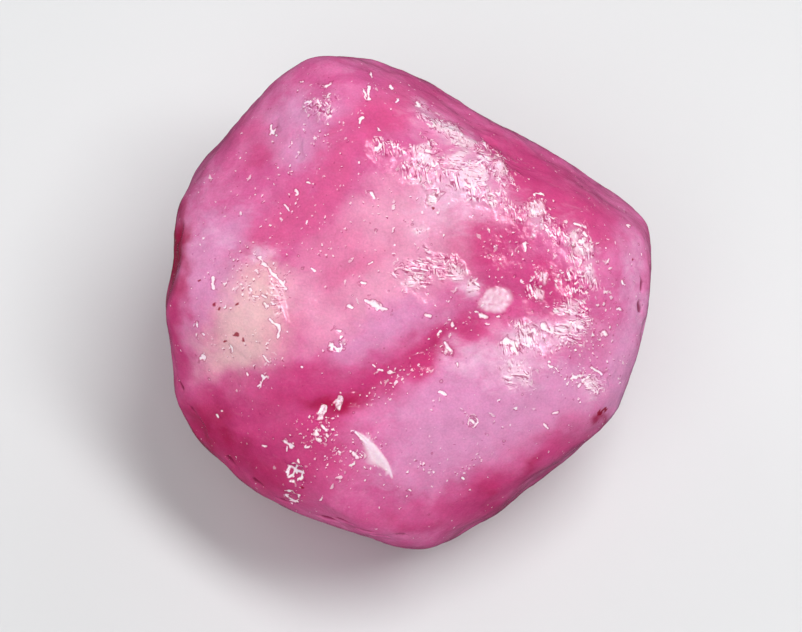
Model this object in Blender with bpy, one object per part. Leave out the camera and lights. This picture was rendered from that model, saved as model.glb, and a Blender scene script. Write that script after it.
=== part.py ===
"""A rough ruby: one natural piece of corundum, about 22 mm across, as it lies on a table.

The stone is one solid. It is shaped in its own axes and then laid down. U runs to the right of
its broad face, V runs up the face, and W points out of the face. A direction from the middle of
the stone is given as a bearing in the face's plane, anticlockwise from U, and a rise out of that
plane towards W, both in degrees. Lengths of the shaping are in millimetres, and the finished
mesh is in metres with +Z up.
"""

import math

import bmesh
import bpy
import numpy as np

# Scale and lie
MM = 0.001
LEAN = 20.0
REST_REACH = 6.95
REST_SKIM = 0.06

# Mesh fineness
SUBDIVISIONS = 8
TRIANGLES = 9600

# The rounded body: bearing, rise and distance of each face that the form is blended from
BODY_SHARPNESS = 18
SIDE_FACES = (
    (60, 14, 8.56),
    (6, 4, 11.8),
    (-18, 2, 10.8),
    (-54, 6, 10.3),
    (-103, 4, 11.3),
    (-128, 4, 11.3),
    (-166, 0, 11.9),
    (177, -4, 10.9),
    (142, 12, 11.28),
    (101, 8, 12.3),
)
CROWN_FACES = (
    (30, 88, 6.3),
    (62, 50, 8.45),
    (140, 55, 8.6),
    (-62, 56, 8.5),
    (-150, 50, 9.3),
    (-5, 46, 9.5),
)
UNDER_FACES = (
    (-90, -70, 7.4),
    (65, -36, 8.6),
    (-5, -38, 9.0),
    (-60, -40, 9.0),
    (-115, -36, 9.4),
    (178, -38, 9.4),
    (120, -38, 9.3),
    (20, -62, 7.9),
    (160, -62, 8.1),
    (90, -58, 7.9),
)

# Low swells of the skin: wavelength, height and seed
SWELLS = (
    (7.0, 0.15, 3),
    (3.2, 0.065, 5),
    (1.5, 0.024, 8),
)

# The crease that runs across the broad face, as U and V
CREASE_LINE = (
    (-10.2, -6.1),
    (-7.8, -5.8),
    (-5.0, -5.2),
    (-3.2, -4.75),
    (-1.1, -3.65),
    (0.95, -2.35),
    (2.8, -1.25),
    (4.4, -0.2),
    (6.0, 0.65),
)
CREASE_DEPTH = 0.42
CREASE_UPPER_SLOPE = 1.25
CREASE_LOWER_SLOPE = 0.30
CREASE_LIP_HEIGHT = 0.16
CREASE_LIP_OFFSET = 0.9
CREASE_LIP_WIDTH = 0.7

# The flat patch at the left, which stands proud along its right hand edge
PATCH_EDGE = (
    (-8.4, 2.25),
    (-6.95, 1.9),
    (-6.1, 1.2),
    (-5.5, 0.0),
    (-5.15, -1.1),
    (-5.5, -2.35),
    (-6.6, -3.65),
    (-7.8, -4.45),
)
PATCH_STEP = 0.13
PATCH_EDGE_WIDTH = 0.13
PATCH_FADE = 1.7

# The round hollow near the lower edge, whose right hand wall is steep
HOLLOW_CENTRE = (-2.95, -7.95)
HOLLOW_RADIUS = 2.20
HOLLOW_WAVER = 0.08
HOLLOW_FLOOR = 0.08
HOLLOW_WALL = 0.22
HOLLOW_WALL_BEARING = 28.0
HOLLOW_STEEP_EDGE = 0.80
HOLLOW_SOFT_EDGE = 1.80

# The soft dimple at the upper right, as a centre and its half widths
DIMPLE_CENTRE = (4.85, 2.3)
DIMPLE_SPAN = (1.9, 1.7)
DIMPLE_DEPTH = 0.26

# Small chips and knobs on the broad face: U, V, half length, half width, bearing and depth,
# a knob having a negative depth
FACE_CHIPS = (
    (-3.98, -5.12, 0.32, 0.22, 70, 0.12),
    (-3.26, -4.83, 0.32, 0.24, 20, 0.11),
    (-1.5, -0.28, 0.50, 0.20, -22, 0.10),
    (3.95, -0.1, 0.80, 0.66, 15, -0.09),
    (-5.07, -7.68, 0.46, 0.34, 120, 0.13),
    (-5.26, -8.92, 0.32, 0.28, -50, 0.10),
    (-3.19, -2.14, 0.30, 0.26, 30, 0.09),
    (-5.0, 6.8, 0.70, 0.34, 100, 0.09),
    (3.8, 8.15, 0.52, 0.30, -32, 0.18),
    (1.05, 4.4, 0.50, 0.28, 40, 0.08),
    (5.7, 3.75, 0.62, 0.36, -35, 0.10),
    (-6.15, 7.7, 0.46, 0.30, 60, 0.06),
    (9.3, -3.65, 0.40, 0.30, 10, 0.06),
    (0.7, -9.0, 0.30, 0.24, 0, 0.06),
    (2.79, -5.49, 0.26, 0.22, 0, 0.07),
)
CHIP_WAVER = 0.22

# Notches of the rim that the broad face ends in: bearing, rise, radius and depth
RIM_NOTCHES = (
    (1.0, 5, 0.85, 0.16),
    (-7.0, 10, 0.60, 0.12),
    (-149, 10, 0.90, 0.18),
    (164, 14, 0.60, 0.12),
    (63, 21, 0.50, 0.13),
    (-80, -4, 0.80, 0.15),
)

# Worn flats, each a plane a little below the highest point of the body: bearing, rise and bite
FLAT_EDGE = 0.10
WORN_FLATS = (
    (170, 13, 0.26),
    (-114, 20, 0.26),
    (-146, 24, 0.12),
    (120, -24, 0.38),
    (36, -36, 0.34),
    (-46, -22, 0.34),
    (-150, -26, 0.30),
    (80, -50, 0.22),
)

# Shell shaped hollows of the sides and the underside: bearing, rise, radius and depth
SHELL_BREAKS = (
    (92, -32, 3.4, 0.42),
    (142, -30, 3.2, 0.40),
    (-8, -28, 3.3, 0.36),
    (52, -36, 2.6, 0.30),
    (-84, -26, 3.0, 0.34),
    (-152, -24, 2.6, 0.30),
    (72, -22, 1.5, 0.20),
    (-58, -18, 1.4, 0.18),
    (162, -20, 1.6, 0.18),
)

# Pits of the underside: bearing, rise, radius and depth
UNDER_PITS = (
    (-60, -48, 1.0, 0.45),
    (-140, -55, 0.8, 0.40),
    (20, -58, 0.9, 0.45),
    (110, -62, 1.1, 0.50),
    (80, -48, 0.7, 0.35),
    (-100, -46, 0.7, 0.32),
)

# Slits along the lower and right hand rim: bearing and rise of both ends, half width and depth
RIM_SLITS = (
    ((-113, 16.5), (-107.5, 18.5), 0.14, 0.16),
    ((-109.5, 20.5), (-104.0, 21.5), 0.12, 0.14),
    ((-103.0, 18.5), (-98.5, 19.5), 0.14, 0.16),
    ((-98.0, 17.0), (-95.2, 16.5), 0.12, 0.14),
    ((-93.5, 19.0), (-91.0, 18.0), 0.12, 0.12),
    ((-139.5, 12.5), (-136, 13.5), 0.13, 0.14),
    ((-131.3, 16.0), (-127, 17.5), 0.12, 0.14),
    ((-123.5, 16.5), (-120, 17.0), 0.12, 0.12),
    ((-161, 11), (-157, 12.5), 0.12, 0.12),
    ((-154, 13), (-151, 13.5), 0.12, 0.12),
    ((5.5, 17), (1.6, 16), 0.12, 0.12),
    ((-0.5, 17), (-3.4, 15), 0.12, 0.12),
)
SLIT_REACH = 11.0

# Finish: a glossy deep pink with a frosted skin in places
RUBY_COLOUR = (0.62, 0.09, 0.28, 1.0)
RUBY_ROUGHNESS = 0.28


def clear_objects():
    """Remove whatever the scene holds."""
    for item in list(bpy.data.objects):
        bpy.data.objects.remove(item, do_unlink=True)


def heading(bearing, rise):
    """Unit direction of a bearing and a rise, in the stone's own axes."""
    turn, lift = math.radians(bearing), math.radians(rise)
    return np.array((
        math.cos(lift) * math.cos(turn),
        math.cos(lift) * math.sin(turn),
        math.sin(lift),
    ))


def ease(amount):
    """Smooth step from 0 to 1."""
    amount = np.clip(amount, 0.0, 1.0)
    return amount * amount * (3.0 - 2.0 * amount)


def body_radius(rays):
    """Reach of the rounded body along each ray: a soft meeting of all its faces."""
    total = np.zeros(len(rays))
    for bearing, rise, distance in SIDE_FACES + CROWN_FACES + UNDER_FACES:
        closeness = np.maximum(rays @ heading(bearing, rise) / distance, 0.0)
        total += closeness ** BODY_SHARPNESS
    return total ** (-1.0 / BODY_SHARPNESS)


def body_point(bearing, rise):
    """Point of the rounded body in one direction."""
    ray = heading(bearing, rise)
    return ray * body_radius(ray[None, :])[0]


def swell(points, wavelength, seed):
    """A wandering field between about -1 and 1, a sum of waves near one wavelength."""
    waves = 24
    dice = np.random.default_rng(seed)
    field = np.zeros(len(points))
    for _ in range(waves):
        axis = dice.normal(size=3)
        axis /= np.linalg.norm(axis)
        rate = 2.0 * math.pi / (wavelength * dice.uniform(0.7, 1.4))
        field += np.cos(points @ axis * rate + dice.uniform(0.0, 2.0 * math.pi))
    return field / math.sqrt(waves / 2.0) / 1.6


def follow(places, line):
    """Distance of each place from a line, positive on its left, and how far along it is."""
    line = np.array(line)
    steps = np.diff(line, axis=0)
    lengths = np.linalg.norm(steps, axis=1)
    nearest = np.full(len(places), np.inf)
    side = np.ones(len(places))
    along = np.zeros(len(places))
    run = 0.0
    for start, step, length in zip(line[:-1], steps, lengths):
        way = step / length
        apart = places - start
        forward = np.clip(apart @ way, 0.0, length)
        distance = np.linalg.norm(apart - forward[:, None] * way, axis=1)
        closer = distance < nearest
        nearest = np.where(closer, distance, nearest)
        turn = way[0] * apart[:, 1] - way[1] * apart[:, 0]
        side = np.where(closer, np.where(turn >= 0.0, 1.0, -1.0), side)
        along = np.where(closer, (run + forward) / lengths.sum(), along)
        run += length
    return nearest * side, along


def crease(places, points):
    """The crease: a gentle slope above its line, a steep one and a low lip below."""
    offset, along = follow(places, CREASE_LINE)
    offset = offset + 0.12 * swell(points, 1.6, 21)
    ends = ease(along / 0.5) * ease((1.0 - along) / 0.18)
    upper = np.exp(-(np.abs(offset) / CREASE_UPPER_SLOPE) ** 1.3)
    lower = np.exp(-(offset / CREASE_LOWER_SLOPE) ** 2)
    lip = np.exp(-((offset + CREASE_LIP_OFFSET) / CREASE_LIP_WIDTH) ** 2)
    valley = CREASE_DEPTH * np.where(offset > 0.0, upper, lower)
    return (valley - CREASE_LIP_HEIGHT * lip) * ends


def patch(places, points):
    """The flat patch: it stands proud behind a narrow step and fades away to the left."""
    offset, along = follow(places, PATCH_EDGE)
    inward = 0.05 * swell(points, 0.9, 31) - offset
    ends = ease(along / 0.10) * ease((1.0 - along) / 0.35)
    raised = ease(inward / PATCH_EDGE_WIDTH) * np.exp(-np.maximum(inward, 0.0) / PATCH_FADE)
    foot = np.where(inward < 0.0, np.exp(-(inward / 0.5) ** 2), 0.0)
    return (0.25 * PATCH_STEP * foot - PATCH_STEP * raised) * ends


def hollow(places):
    """The round hollow, steepest at its right hand wall."""
    apart = places - np.array(HOLLOW_CENTRE)
    turn = np.arctan2(apart[:, 1], apart[:, 0])
    distance = np.linalg.norm(apart, axis=1)
    rim = HOLLOW_RADIUS + HOLLOW_WAVER * np.cos(3.0 * turn + 1.0)
    steep = 0.5 + 0.5 * np.cos(turn - math.radians(HOLLOW_WALL_BEARING))
    width = HOLLOW_STEEP_EDGE + (HOLLOW_SOFT_EDGE - HOLLOW_STEEP_EDGE) * (1.0 - steep)
    return (HOLLOW_FLOOR + HOLLOW_WALL * steep) * ease((rim - distance) / width)


def dimple(places):
    """The soft dimple at the upper right."""
    distance = np.linalg.norm((places - np.array(DIMPLE_CENTRE)) / np.array(DIMPLE_SPAN), axis=1)
    return DIMPLE_DEPTH * ease(1.0 - distance)


def bowl(distance, depth):
    """A shallow bowl of depth at its middle, which meets the skin in a crisp rim at distance 1."""
    return depth * np.maximum(0.0, 1.0 - distance ** 2)


def chips(places, points):
    """The small chips and knobs of the broad face."""
    depth = np.zeros(len(places))
    waver = 1.0 + CHIP_WAVER * swell(points, 0.55, 61)
    for across, up, length, width, bearing, bite in FACE_CHIPS:
        turn = math.radians(bearing)
        apart = places - np.array((across, up))
        forward = apart[:, 0] * math.cos(turn) + apart[:, 1] * math.sin(turn)
        beside = apart[:, 1] * math.cos(turn) - apart[:, 0] * math.sin(turn)
        depth += bowl(np.hypot(forward / length, beside / width) * waver, bite)
    return depth


def slits(points):
    """The narrow slits along the rim."""
    depth = np.zeros(len(points))
    places = SLIT_REACH * points / np.linalg.norm(points, axis=1, keepdims=True)
    places += 0.10 * np.stack([swell(points, 1.1, seed) for seed in (71, 72, 73)], axis=1)
    for start, end, width, bite in RIM_SLITS:
        first = SLIT_REACH * heading(*start)
        step = SLIT_REACH * heading(*end) - first
        apart = places - first
        along = np.clip(apart @ step / (step @ step), 0.0, 1.0)
        offset = np.linalg.norm(apart - along[:, None] * step, axis=1)
        width = width * (0.35 + 0.65 * ease(along / 0.3) * ease((1.0 - along) / 0.3))
        depth += bite * np.exp(-(offset / width) ** 2)
    return depth


def face_relief(points):
    """Depth taken from the broad face by all that is carved into it."""
    places = points[:, :2]
    facing = ease((points[:, 2] + 0.5) / 2.0)
    depth = crease(places, points) + patch(places, points) + hollow(places) + dimple(places)
    depth += chips(places, points)
    return depth * facing


def side_relief(points):
    """Depth taken by the notches, shell breaks and pits of the sides and the underside."""
    depth = np.zeros(len(points))
    waver = 1.0 + 0.12 * swell(points, 1.8, 41)
    for bearing, rise, radius, bite in RIM_NOTCHES + SHELL_BREAKS + UNDER_PITS:
        distance = np.linalg.norm(points - body_point(bearing, rise), axis=1)
        depth += bowl(distance * waver / radius, bite)
    return depth


def lesser(first, second, edge):
    """The lesser of two lengths, with the change from one to the other rounded over an edge."""
    blend = np.maximum(edge - np.abs(first - second), 0.0) / edge
    return np.minimum(first, second) - 0.25 * edge * blend ** 2


def worn_body(rays):
    """Reach of the rounded body with its worn flats."""
    reach = body_radius(rays)
    points = rays * reach[:, None]
    for bearing, rise, bite in WORN_FLATS:
        way = heading(bearing, rise)
        plane = (points @ way).max() - bite
        reach = lesser(reach, plane / np.maximum(rays @ way, 1e-3), FLAT_EDGE)
    return reach


def stone_points(rays):
    """Points of the finished skin along the rays, in the stone's own axes."""
    base = worn_body(rays)
    points = rays * base[:, None]
    depth = face_relief(points) + side_relief(points) + slits(points)
    for wavelength, height, seed in SWELLS:
        depth -= height * swell(points, wavelength, seed)
    under = heading(-90, LEAN - 90)
    rest = (REST_REACH + REST_SKIM) / np.maximum(rays @ under, 1e-3)
    return rays * np.minimum(base - depth, rest)[:, None]


def laid_down(points):
    """The points as the stone lies: in metres, its resting plane at zero and centred over it."""
    lean = math.radians(LEAN)
    across, up, out = points.T
    away = up * math.cos(lean) - out * math.sin(lean)
    height = up * math.sin(lean) + out * math.cos(lean) + REST_REACH
    lying = np.stack((across, away, height), axis=1)
    lying[:, :2] -= 0.5 * (lying[:, :2].min(axis=0) + lying[:, :2].max(axis=0))
    return lying * MM


def ruby_material():
    """The stone's plain material."""
    material = bpy.data.materials.new("ruby_stone")
    material.use_nodes = True
    shader = material.node_tree.nodes["Principled BSDF"]
    shader.inputs["Base Color"].default_value = RUBY_COLOUR
    shader.inputs["Roughness"].default_value = RUBY_ROUGHNESS
    shader.inputs["Metallic"].default_value = 0.0
    return material


def rest_cutter():
    """A block under the resting plane, which cuts the flat that the stone lies on."""
    span, depth = 40.0 * MM, 10.0 * MM
    mesh = bpy.data.meshes.new("rest_cutter")
    form = bmesh.new()
    bmesh.ops.create_cube(form, size=1.0)
    for corner in form.verts:
        corner.co.x *= span
        corner.co.y *= span
        corner.co.z = (corner.co.z - 0.5) * depth
    form.to_mesh(mesh)
    form.free()
    cutter = bpy.data.objects.new("rest_cutter", mesh)
    cutter.hide_render = True
    cutter.display_type = "WIRE"
    bpy.context.scene.collection.objects.link(cutter)
    return cutter


def ruby():
    """The stone: a fine ball drawn out to the skin, thinned, and cut flat where it rests."""
    mesh = bpy.data.meshes.new("ruby")
    form = bmesh.new()
    bmesh.ops.create_icosphere(form, subdivisions=SUBDIVISIONS, radius=1.0)
    form.to_mesh(mesh)
    form.free()
    rays = np.empty(3 * len(mesh.vertices), dtype=np.float32)
    mesh.vertices.foreach_get("co", rays)
    rays = rays.reshape(-1, 3).astype(np.float64)
    rays /= np.linalg.norm(rays, axis=1, keepdims=True)
    mesh.vertices.foreach_set("co", laid_down(stone_points(rays)).astype(np.float32).ravel())
    mesh.update()
    mesh.materials.append(ruby_material())
    stone = bpy.data.objects.new("ruby", mesh)
    bpy.context.scene.collection.objects.link(stone)
    thin = stone.modifiers.new("thin", "DECIMATE")
    thin.ratio = TRIANGLES / len(mesh.polygons)
    thin.use_collapse_triangulate = True
    rest = stone.modifiers.new("rest", "BOOLEAN")
    rest.operation = "DIFFERENCE"
    rest.solver = "EXACT"
    rest.object = rest_cutter()
    return stone


clear_objects()
ruby()
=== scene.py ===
"""Looks of a rough ruby: the fine skin, the clouded pink body and a plain studio around it."""

import logging
import math
from dataclasses import dataclass
from enum import Enum

import bmesh
import bpy
import numpy as np
from mathutils import Matrix, Vector, kdtree


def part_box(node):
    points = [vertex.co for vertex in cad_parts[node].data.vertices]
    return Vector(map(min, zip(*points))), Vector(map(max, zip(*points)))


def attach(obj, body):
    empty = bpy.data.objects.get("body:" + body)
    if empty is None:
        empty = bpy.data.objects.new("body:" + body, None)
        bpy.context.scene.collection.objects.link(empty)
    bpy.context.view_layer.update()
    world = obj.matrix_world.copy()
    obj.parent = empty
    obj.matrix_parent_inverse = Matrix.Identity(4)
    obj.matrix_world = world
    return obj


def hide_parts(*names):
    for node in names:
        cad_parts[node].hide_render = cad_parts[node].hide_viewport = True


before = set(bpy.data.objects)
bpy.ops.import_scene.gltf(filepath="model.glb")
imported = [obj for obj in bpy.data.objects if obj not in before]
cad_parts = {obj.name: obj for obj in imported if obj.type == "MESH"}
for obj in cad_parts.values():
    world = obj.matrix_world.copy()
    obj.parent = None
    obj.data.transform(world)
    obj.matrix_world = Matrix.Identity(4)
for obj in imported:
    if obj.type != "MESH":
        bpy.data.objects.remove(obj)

LOG = logging.getLogger("ruby")
NODE = "ruby"
BODY = "root"
MM = 0.001
LEAN = math.radians(20.0)
WAVE_RANGE = (0.7, 1.4)
WAVE_PEAK = 1.6
LEAST_COSINE = 1e-3
FACE_FROM = -0.5
FACE_FADE = 2.0

Rows = np.ndarray


class Tint(Enum):
    """The clouds of colour in the stone, each kept as a mask of the skin; the deep and crimson clouds also
    carry painted shade, and the milky and lilac clouds painted sheen.
    """

    SALMON = "tint_salmon"
    BEIGE = "tint_beige"
    LILAC_AND_SHEEN = "tint_lilac_and_sheen"
    WARM = "tint_warm"
    DEEP_AND_SHADE = "tint_deep_and_shade"
    MILKY_AND_SHEEN = "tint_milky_and_sheen"
    CRIMSON_AND_SHADE = "tint_crimson_and_shade"


class Mark(Enum):
    """What the skin carries besides its clouds, each kept as a mask; some of them mark where highlights and
    shade are painted into the colour.
    """

    FROST_AND_GLINT = "mark_frost_and_glint"
    SPECK = "mark_speck"
    CRUMPLE = "mark_crumple"
    BUBBLE = "mark_bubble"
    FLECKS = "mark_flecks"
    LAY = "mark_lay"
    GLAZE_AND_SHEEN = "mark_glaze_and_sheen"
    DOTS = "mark_dots"
    SLIT = "mark_slit"
    # Pale patches where a painted highlight, a painted sheen, is laid into the colour.
    GLOW = "mark_painted_sheen"


def heading(bearing: float, rise: float) -> Rows:
    """Unit direction in the stone's own axes.

    Args:
        bearing: degrees in the plane of the broad face, anticlockwise from its right.
        rise: degrees out of that plane, towards its front.

    Returns:
        The direction as three numbers.
    """
    turn, lift = math.radians(bearing), math.radians(rise)
    return np.array((
        math.cos(lift) * math.cos(turn),
        math.cos(lift) * math.sin(turn),
        math.sin(lift),
    ))


def ease(amount: Rows) -> Rows:
    """Smooth step from 0 to 1 of an amount."""
    amount = np.clip(amount, 0.0, 1.0)
    return amount * amount * (3.0 - 2.0 * amount)


def swell(points: Rows, wavelength: float, seed: int, waves: int = 24) -> Rows:
    """A wandering field between about -1 and 1, a sum of waves near one wavelength.

    Args:
        points: places in millimetres, one row each.
        wavelength: the middle wavelength in millimetres.
        seed: start of the random draws.
        waves: how many waves are added up.

    Returns:
        One value for each point.
    """
    dice = np.random.default_rng(seed)
    field = np.zeros(len(points))
    for _ in range(waves):
        axis = dice.normal(size=3)
        axis /= np.linalg.norm(axis)
        rate = 2.0 * math.pi / (wavelength * dice.uniform(*WAVE_RANGE))
        field += np.cos(points @ axis * rate + dice.uniform(0.0, 2.0 * math.pi))
    return field / math.sqrt(waves / 2.0) / WAVE_PEAK


def waver(points: Rows, height: float, wavelength: float, seed: int) -> Rows:
    """A wandering field of one height in millimetres."""
    return height * swell(points, wavelength, seed)


def stray(points: Rows, reach: float, wavelength: float, seeds: tuple) -> Rows:
    """A wandering shift of each point, with one column for each seed."""
    return reach * np.stack([swell(points, wavelength, seed) for seed in seeds], axis=1)


def follow(places: Rows, line: tuple) -> tuple[Rows, Rows]:
    """Distance of each place from a line, and how far along the line it is.

    Args:
        places: points of the broad face's plane, one row each.
        line: the line's own points.

    Returns:
        The distances, positive on the left of the line, and the run along it from 0 to 1.
    """
    line = np.array(line)
    steps = np.diff(line, axis=0)
    lengths = np.linalg.norm(steps, axis=1)
    nearest = np.full(len(places), np.inf)
    side = np.ones(len(places))
    along = np.zeros(len(places))
    run = 0.0
    for start, step, length in zip(line[:-1], steps, lengths):
        way = step / length
        apart = places - start
        forward = np.clip(apart @ way, 0.0, length)
        distance = np.linalg.norm(apart - forward[:, None] * way, axis=1)
        closer = distance < nearest
        nearest = np.where(closer, distance, nearest)
        turn = way[0] * apart[:, 1] - way[1] * apart[:, 0]
        side = np.where(closer, np.where(turn >= 0.0, 1.0, -1.0), side)
        along = np.where(closer, (run + forward) / lengths.sum(), along)
        run += length
    return nearest * side, along


def bowl(distance: Rows, depth: float) -> Rows:
    """A shallow bowl of depth at its middle, which meets the skin in a crisp rim at distance 1."""
    return depth * np.maximum(0.0, 1.0 - distance ** 2)


def lesser(first: Rows, second: Rows, edge: float) -> Rows:
    """The lesser of two lengths, with the change from one to the other rounded over an edge."""
    blend = np.maximum(edge - np.abs(first - second), 0.0) / edge
    return np.minimum(first, second) - 0.25 * edge * blend ** 2


def facing(points: Rows) -> Rows:
    """How far each point belongs to the broad face, from 0 to 1."""
    return ease((points[:, 2] - FACE_FROM) / FACE_FADE)


def oval(places: Rows, across: float, up: float, length: float, width: float, bearing: float) -> Rows:
    """Distance from the middle of an oval in its own half widths.

    Args:
        places: points of the broad face's plane, one row each.
        across: the oval's middle, to the right.
        up: the oval's middle, up the face.
        length: half its length.
        width: half its width.
        bearing: degrees from the right to its length.

    Returns:
        One distance for each place, 1 on the oval's edge.
    """
    turn = math.radians(bearing)
    right, high = places[:, 0] - across, places[:, 1] - up
    forward = right * math.cos(turn) + high * math.sin(turn)
    beside = high * math.cos(turn) - right * math.sin(turn)
    return np.hypot(forward / length, beside / width)


@dataclass
class RoundedBody:
    """The rounded body: a soft meeting of faces, with worn flats bitten into it."""

    sharpness: int = 18
    flat_edge: float = 0.10
    # Bearing and rise in degrees, and distance from the middle in millimetres.
    faces: tuple = (
        (60, 14, 8.56), (6, 4, 11.8), (-18, 2, 10.8), (-54, 6, 10.3), (-103, 4, 11.3), (-128, 4, 11.3),
        (-166, 0, 11.9), (177, -4, 10.9), (142, 12, 11.28), (101, 8, 12.3), (30, 88, 6.3), (62, 50, 8.45),
        (140, 55, 8.6), (-62, 56, 8.5), (-150, 50, 9.3), (-5, 46, 9.5), (-90, -70, 7.4), (65, -36, 8.6),
        (-5, -38, 9.0), (-60, -40, 9.0), (-115, -36, 9.4), (178, -38, 9.4), (120, -38, 9.3), (20, -62, 7.9),
        (160, -62, 8.1), (90, -58, 7.9),
    )
    # Bearing and rise in degrees, and the bite in millimetres.
    flats: tuple = (
        (170, 13, 0.26), (-114, 20, 0.26), (-146, 24, 0.12), (120, -24, 0.38), (36, -36, 0.34),
        (-46, -22, 0.34), (-150, -26, 0.30), (80, -50, 0.22),
    )

    def radius(self, rays: Rows) -> Rows:
        """Reach of the rounded body along each ray.

        Args:
            rays: unit directions, one row each.

        Returns:
            One length for each ray.
        """
        total = np.zeros(len(rays))
        for bearing, rise, distance in self.faces:
            closeness = np.maximum(rays @ heading(bearing, rise) / distance, 0.0)
            total += closeness ** self.sharpness
        return total ** (-1.0 / self.sharpness)

    def point(self, bearing: float, rise: float) -> Rows:
        """Point of the rounded body in one direction."""
        ray = heading(bearing, rise)
        return ray * self.radius(ray[None, :])[0]

    def worn(self, rays: Rows) -> Rows:
        """Reach of the body along each ray once its flats are worn.

        Args:
            rays: unit directions, one row each.

        Returns:
            One length for each ray.
        """
        reach = self.radius(rays)
        points = rays * reach[:, None]
        for bearing, rise, bite in self.flats:
            way = heading(bearing, rise)
            plane = (points @ way).max() - bite
            reach = lesser(reach, plane / np.maximum(rays @ way, LEAST_COSINE), self.flat_edge)
        return reach


@dataclass
class FaceRelief:
    """What is carved into the broad face: crease, patch, hollow, dimple and chips."""

    crease_line: tuple = (
        (-10.2, -6.1), (-7.8, -5.8), (-5.0, -5.2), (-3.2, -4.75), (-1.1, -3.65), (0.95, -2.35),
        (2.8, -1.25), (4.4, -0.2), (6.0, 0.65),
    )
    crease_depth: float = 0.42
    crease_upper_slope: float = 1.25
    crease_upper_round: float = 1.3
    crease_lower_slope: float = 0.30
    crease_lip_height: float = 0.16
    crease_lip_offset: float = 0.9
    crease_lip_width: float = 0.7
    # Wavers hold a height and a wavelength in millimetres, and a seed.
    crease_waver: tuple = (0.12, 1.6, 21)
    crease_ends: tuple = (0.5, 0.18)
    patch_edge: tuple = (
        (-8.4, 2.25), (-6.95, 1.9), (-6.1, 1.2), (-5.5, 0.0), (-5.15, -1.1), (-5.5, -2.35), (-6.6, -3.65),
        (-7.8, -4.45),
    )
    patch_step: float = 0.13
    patch_edge_width: float = 0.13
    patch_fade: float = 1.7
    patch_foot: float = 0.5
    patch_foot_share: float = 0.25
    patch_waver: tuple = (0.05, 0.9, 31)
    patch_ends: tuple = (0.10, 0.35)
    hollow_centre: tuple = (-2.95, -7.95)
    hollow_radius: float = 2.20
    hollow_floor: float = 0.08
    hollow_wall: float = 0.22
    hollow_wall_bearing: float = 28.0
    hollow_lobes: float = 3.0
    hollow_lobe_height: float = 0.08
    hollow_lobe_turn: float = 1.0
    hollow_steep_edge: float = 0.80
    hollow_soft_edge: float = 1.80
    dimple_centre: tuple = (4.85, 2.3)
    dimple_span: tuple = (1.9, 1.7)
    dimple_depth: float = 0.26
    # Middle to the right and up, half length, half width, bearing in degrees, depth.
    chips: tuple = (
        (-3.98, -5.12, 0.32, 0.22, 70, 0.12), (-3.26, -4.83, 0.32, 0.24, 20, 0.11),
        (-1.5, -0.28, 0.50, 0.20, -22, 0.10), (3.95, -0.1, 0.80, 0.66, 15, -0.09),
        (-5.07, -7.68, 0.46, 0.34, 120, 0.13), (-5.26, -8.92, 0.32, 0.28, -50, 0.10),
        (-3.19, -2.14, 0.30, 0.26, 30, 0.09), (-5.0, 6.8, 0.70, 0.34, 100, 0.09),
        (3.8, 8.15, 0.52, 0.30, -32, 0.18), (1.05, 4.4, 0.50, 0.28, 40, 0.08),
        (5.7, 3.75, 0.62, 0.36, -35, 0.10), (-6.15, 7.7, 0.46, 0.30, 60, 0.06),
        (9.3, -3.65, 0.40, 0.30, 10, 0.06), (0.7, -9.0, 0.30, 0.24, 0, 0.06),
        (2.79, -5.49, 0.26, 0.22, 0, 0.07),
    )
    chip_waver: tuple = (0.22, 0.55, 61)
    chip_nick: tuple = (0.12, 0.24, 63)

    def crease_offset(self, points: Rows) -> tuple[Rows, Rows]:
        """Wavering distance from the crease's line, and the run along it."""
        offset, along = follow(points[:, :2], self.crease_line)
        return offset + waver(points, *self.crease_waver), along

    def crease(self, points: Rows) -> Rows:
        """Depth of the crease: a gentle slope above, a steep one and a low lip below.

        Args:
            points: places of the rounded body.

        Returns:
            One depth for each point.
        """
        offset, along = self.crease_offset(points)
        first, last = self.crease_ends
        ends = ease(along / first) * ease((1.0 - along) / last)
        upper = np.exp(-(np.abs(offset) / self.crease_upper_slope) ** self.crease_upper_round)
        lower = np.exp(-(offset / self.crease_lower_slope) ** 2)
        lip = np.exp(-((offset + self.crease_lip_offset) / self.crease_lip_width) ** 2)
        valley = self.crease_depth * np.where(offset > 0.0, upper, lower)
        return (valley - self.crease_lip_height * lip) * ends

    def patch_inward(self, points: Rows) -> tuple[Rows, Rows]:
        """Distance inside the flat patch's edge, and the run along that edge."""
        offset, along = follow(points[:, :2], self.patch_edge)
        return waver(points, *self.patch_waver) - offset, along

    def patch(self, points: Rows) -> Rows:
        """Depth of the flat patch, which stands proud behind a narrow step.

        Args:
            points: places of the rounded body.

        Returns:
            One depth for each point.
        """
        inward, along = self.patch_inward(points)
        first, last = self.patch_ends
        ends = ease(along / first) * ease((1.0 - along) / last)
        fade = np.exp(-np.maximum(inward, 0.0) / self.patch_fade)
        raised = ease(inward / self.patch_edge_width) * fade
        foot = np.where(inward < 0.0, np.exp(-(inward / self.patch_foot) ** 2), 0.0)
        return (self.patch_foot_share * self.patch_step * foot - self.patch_step * raised) * ends

    def hollow_inward(self, places: Rows) -> tuple[Rows, Rows]:
        """Distance inside the hollow's rim, and the turn round its middle in radians.

        Args:
            places: points of the broad face's plane.

        Returns:
            The distances, positive inside, and the turns.
        """
        right, high = (places[:, axis] - self.hollow_centre[axis] for axis in (0, 1))
        turn = np.arctan2(high, right)
        lobes = self.hollow_lobe_height * np.cos(self.hollow_lobes * turn + self.hollow_lobe_turn)
        return self.hollow_radius + lobes - np.hypot(right, high), turn

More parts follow.
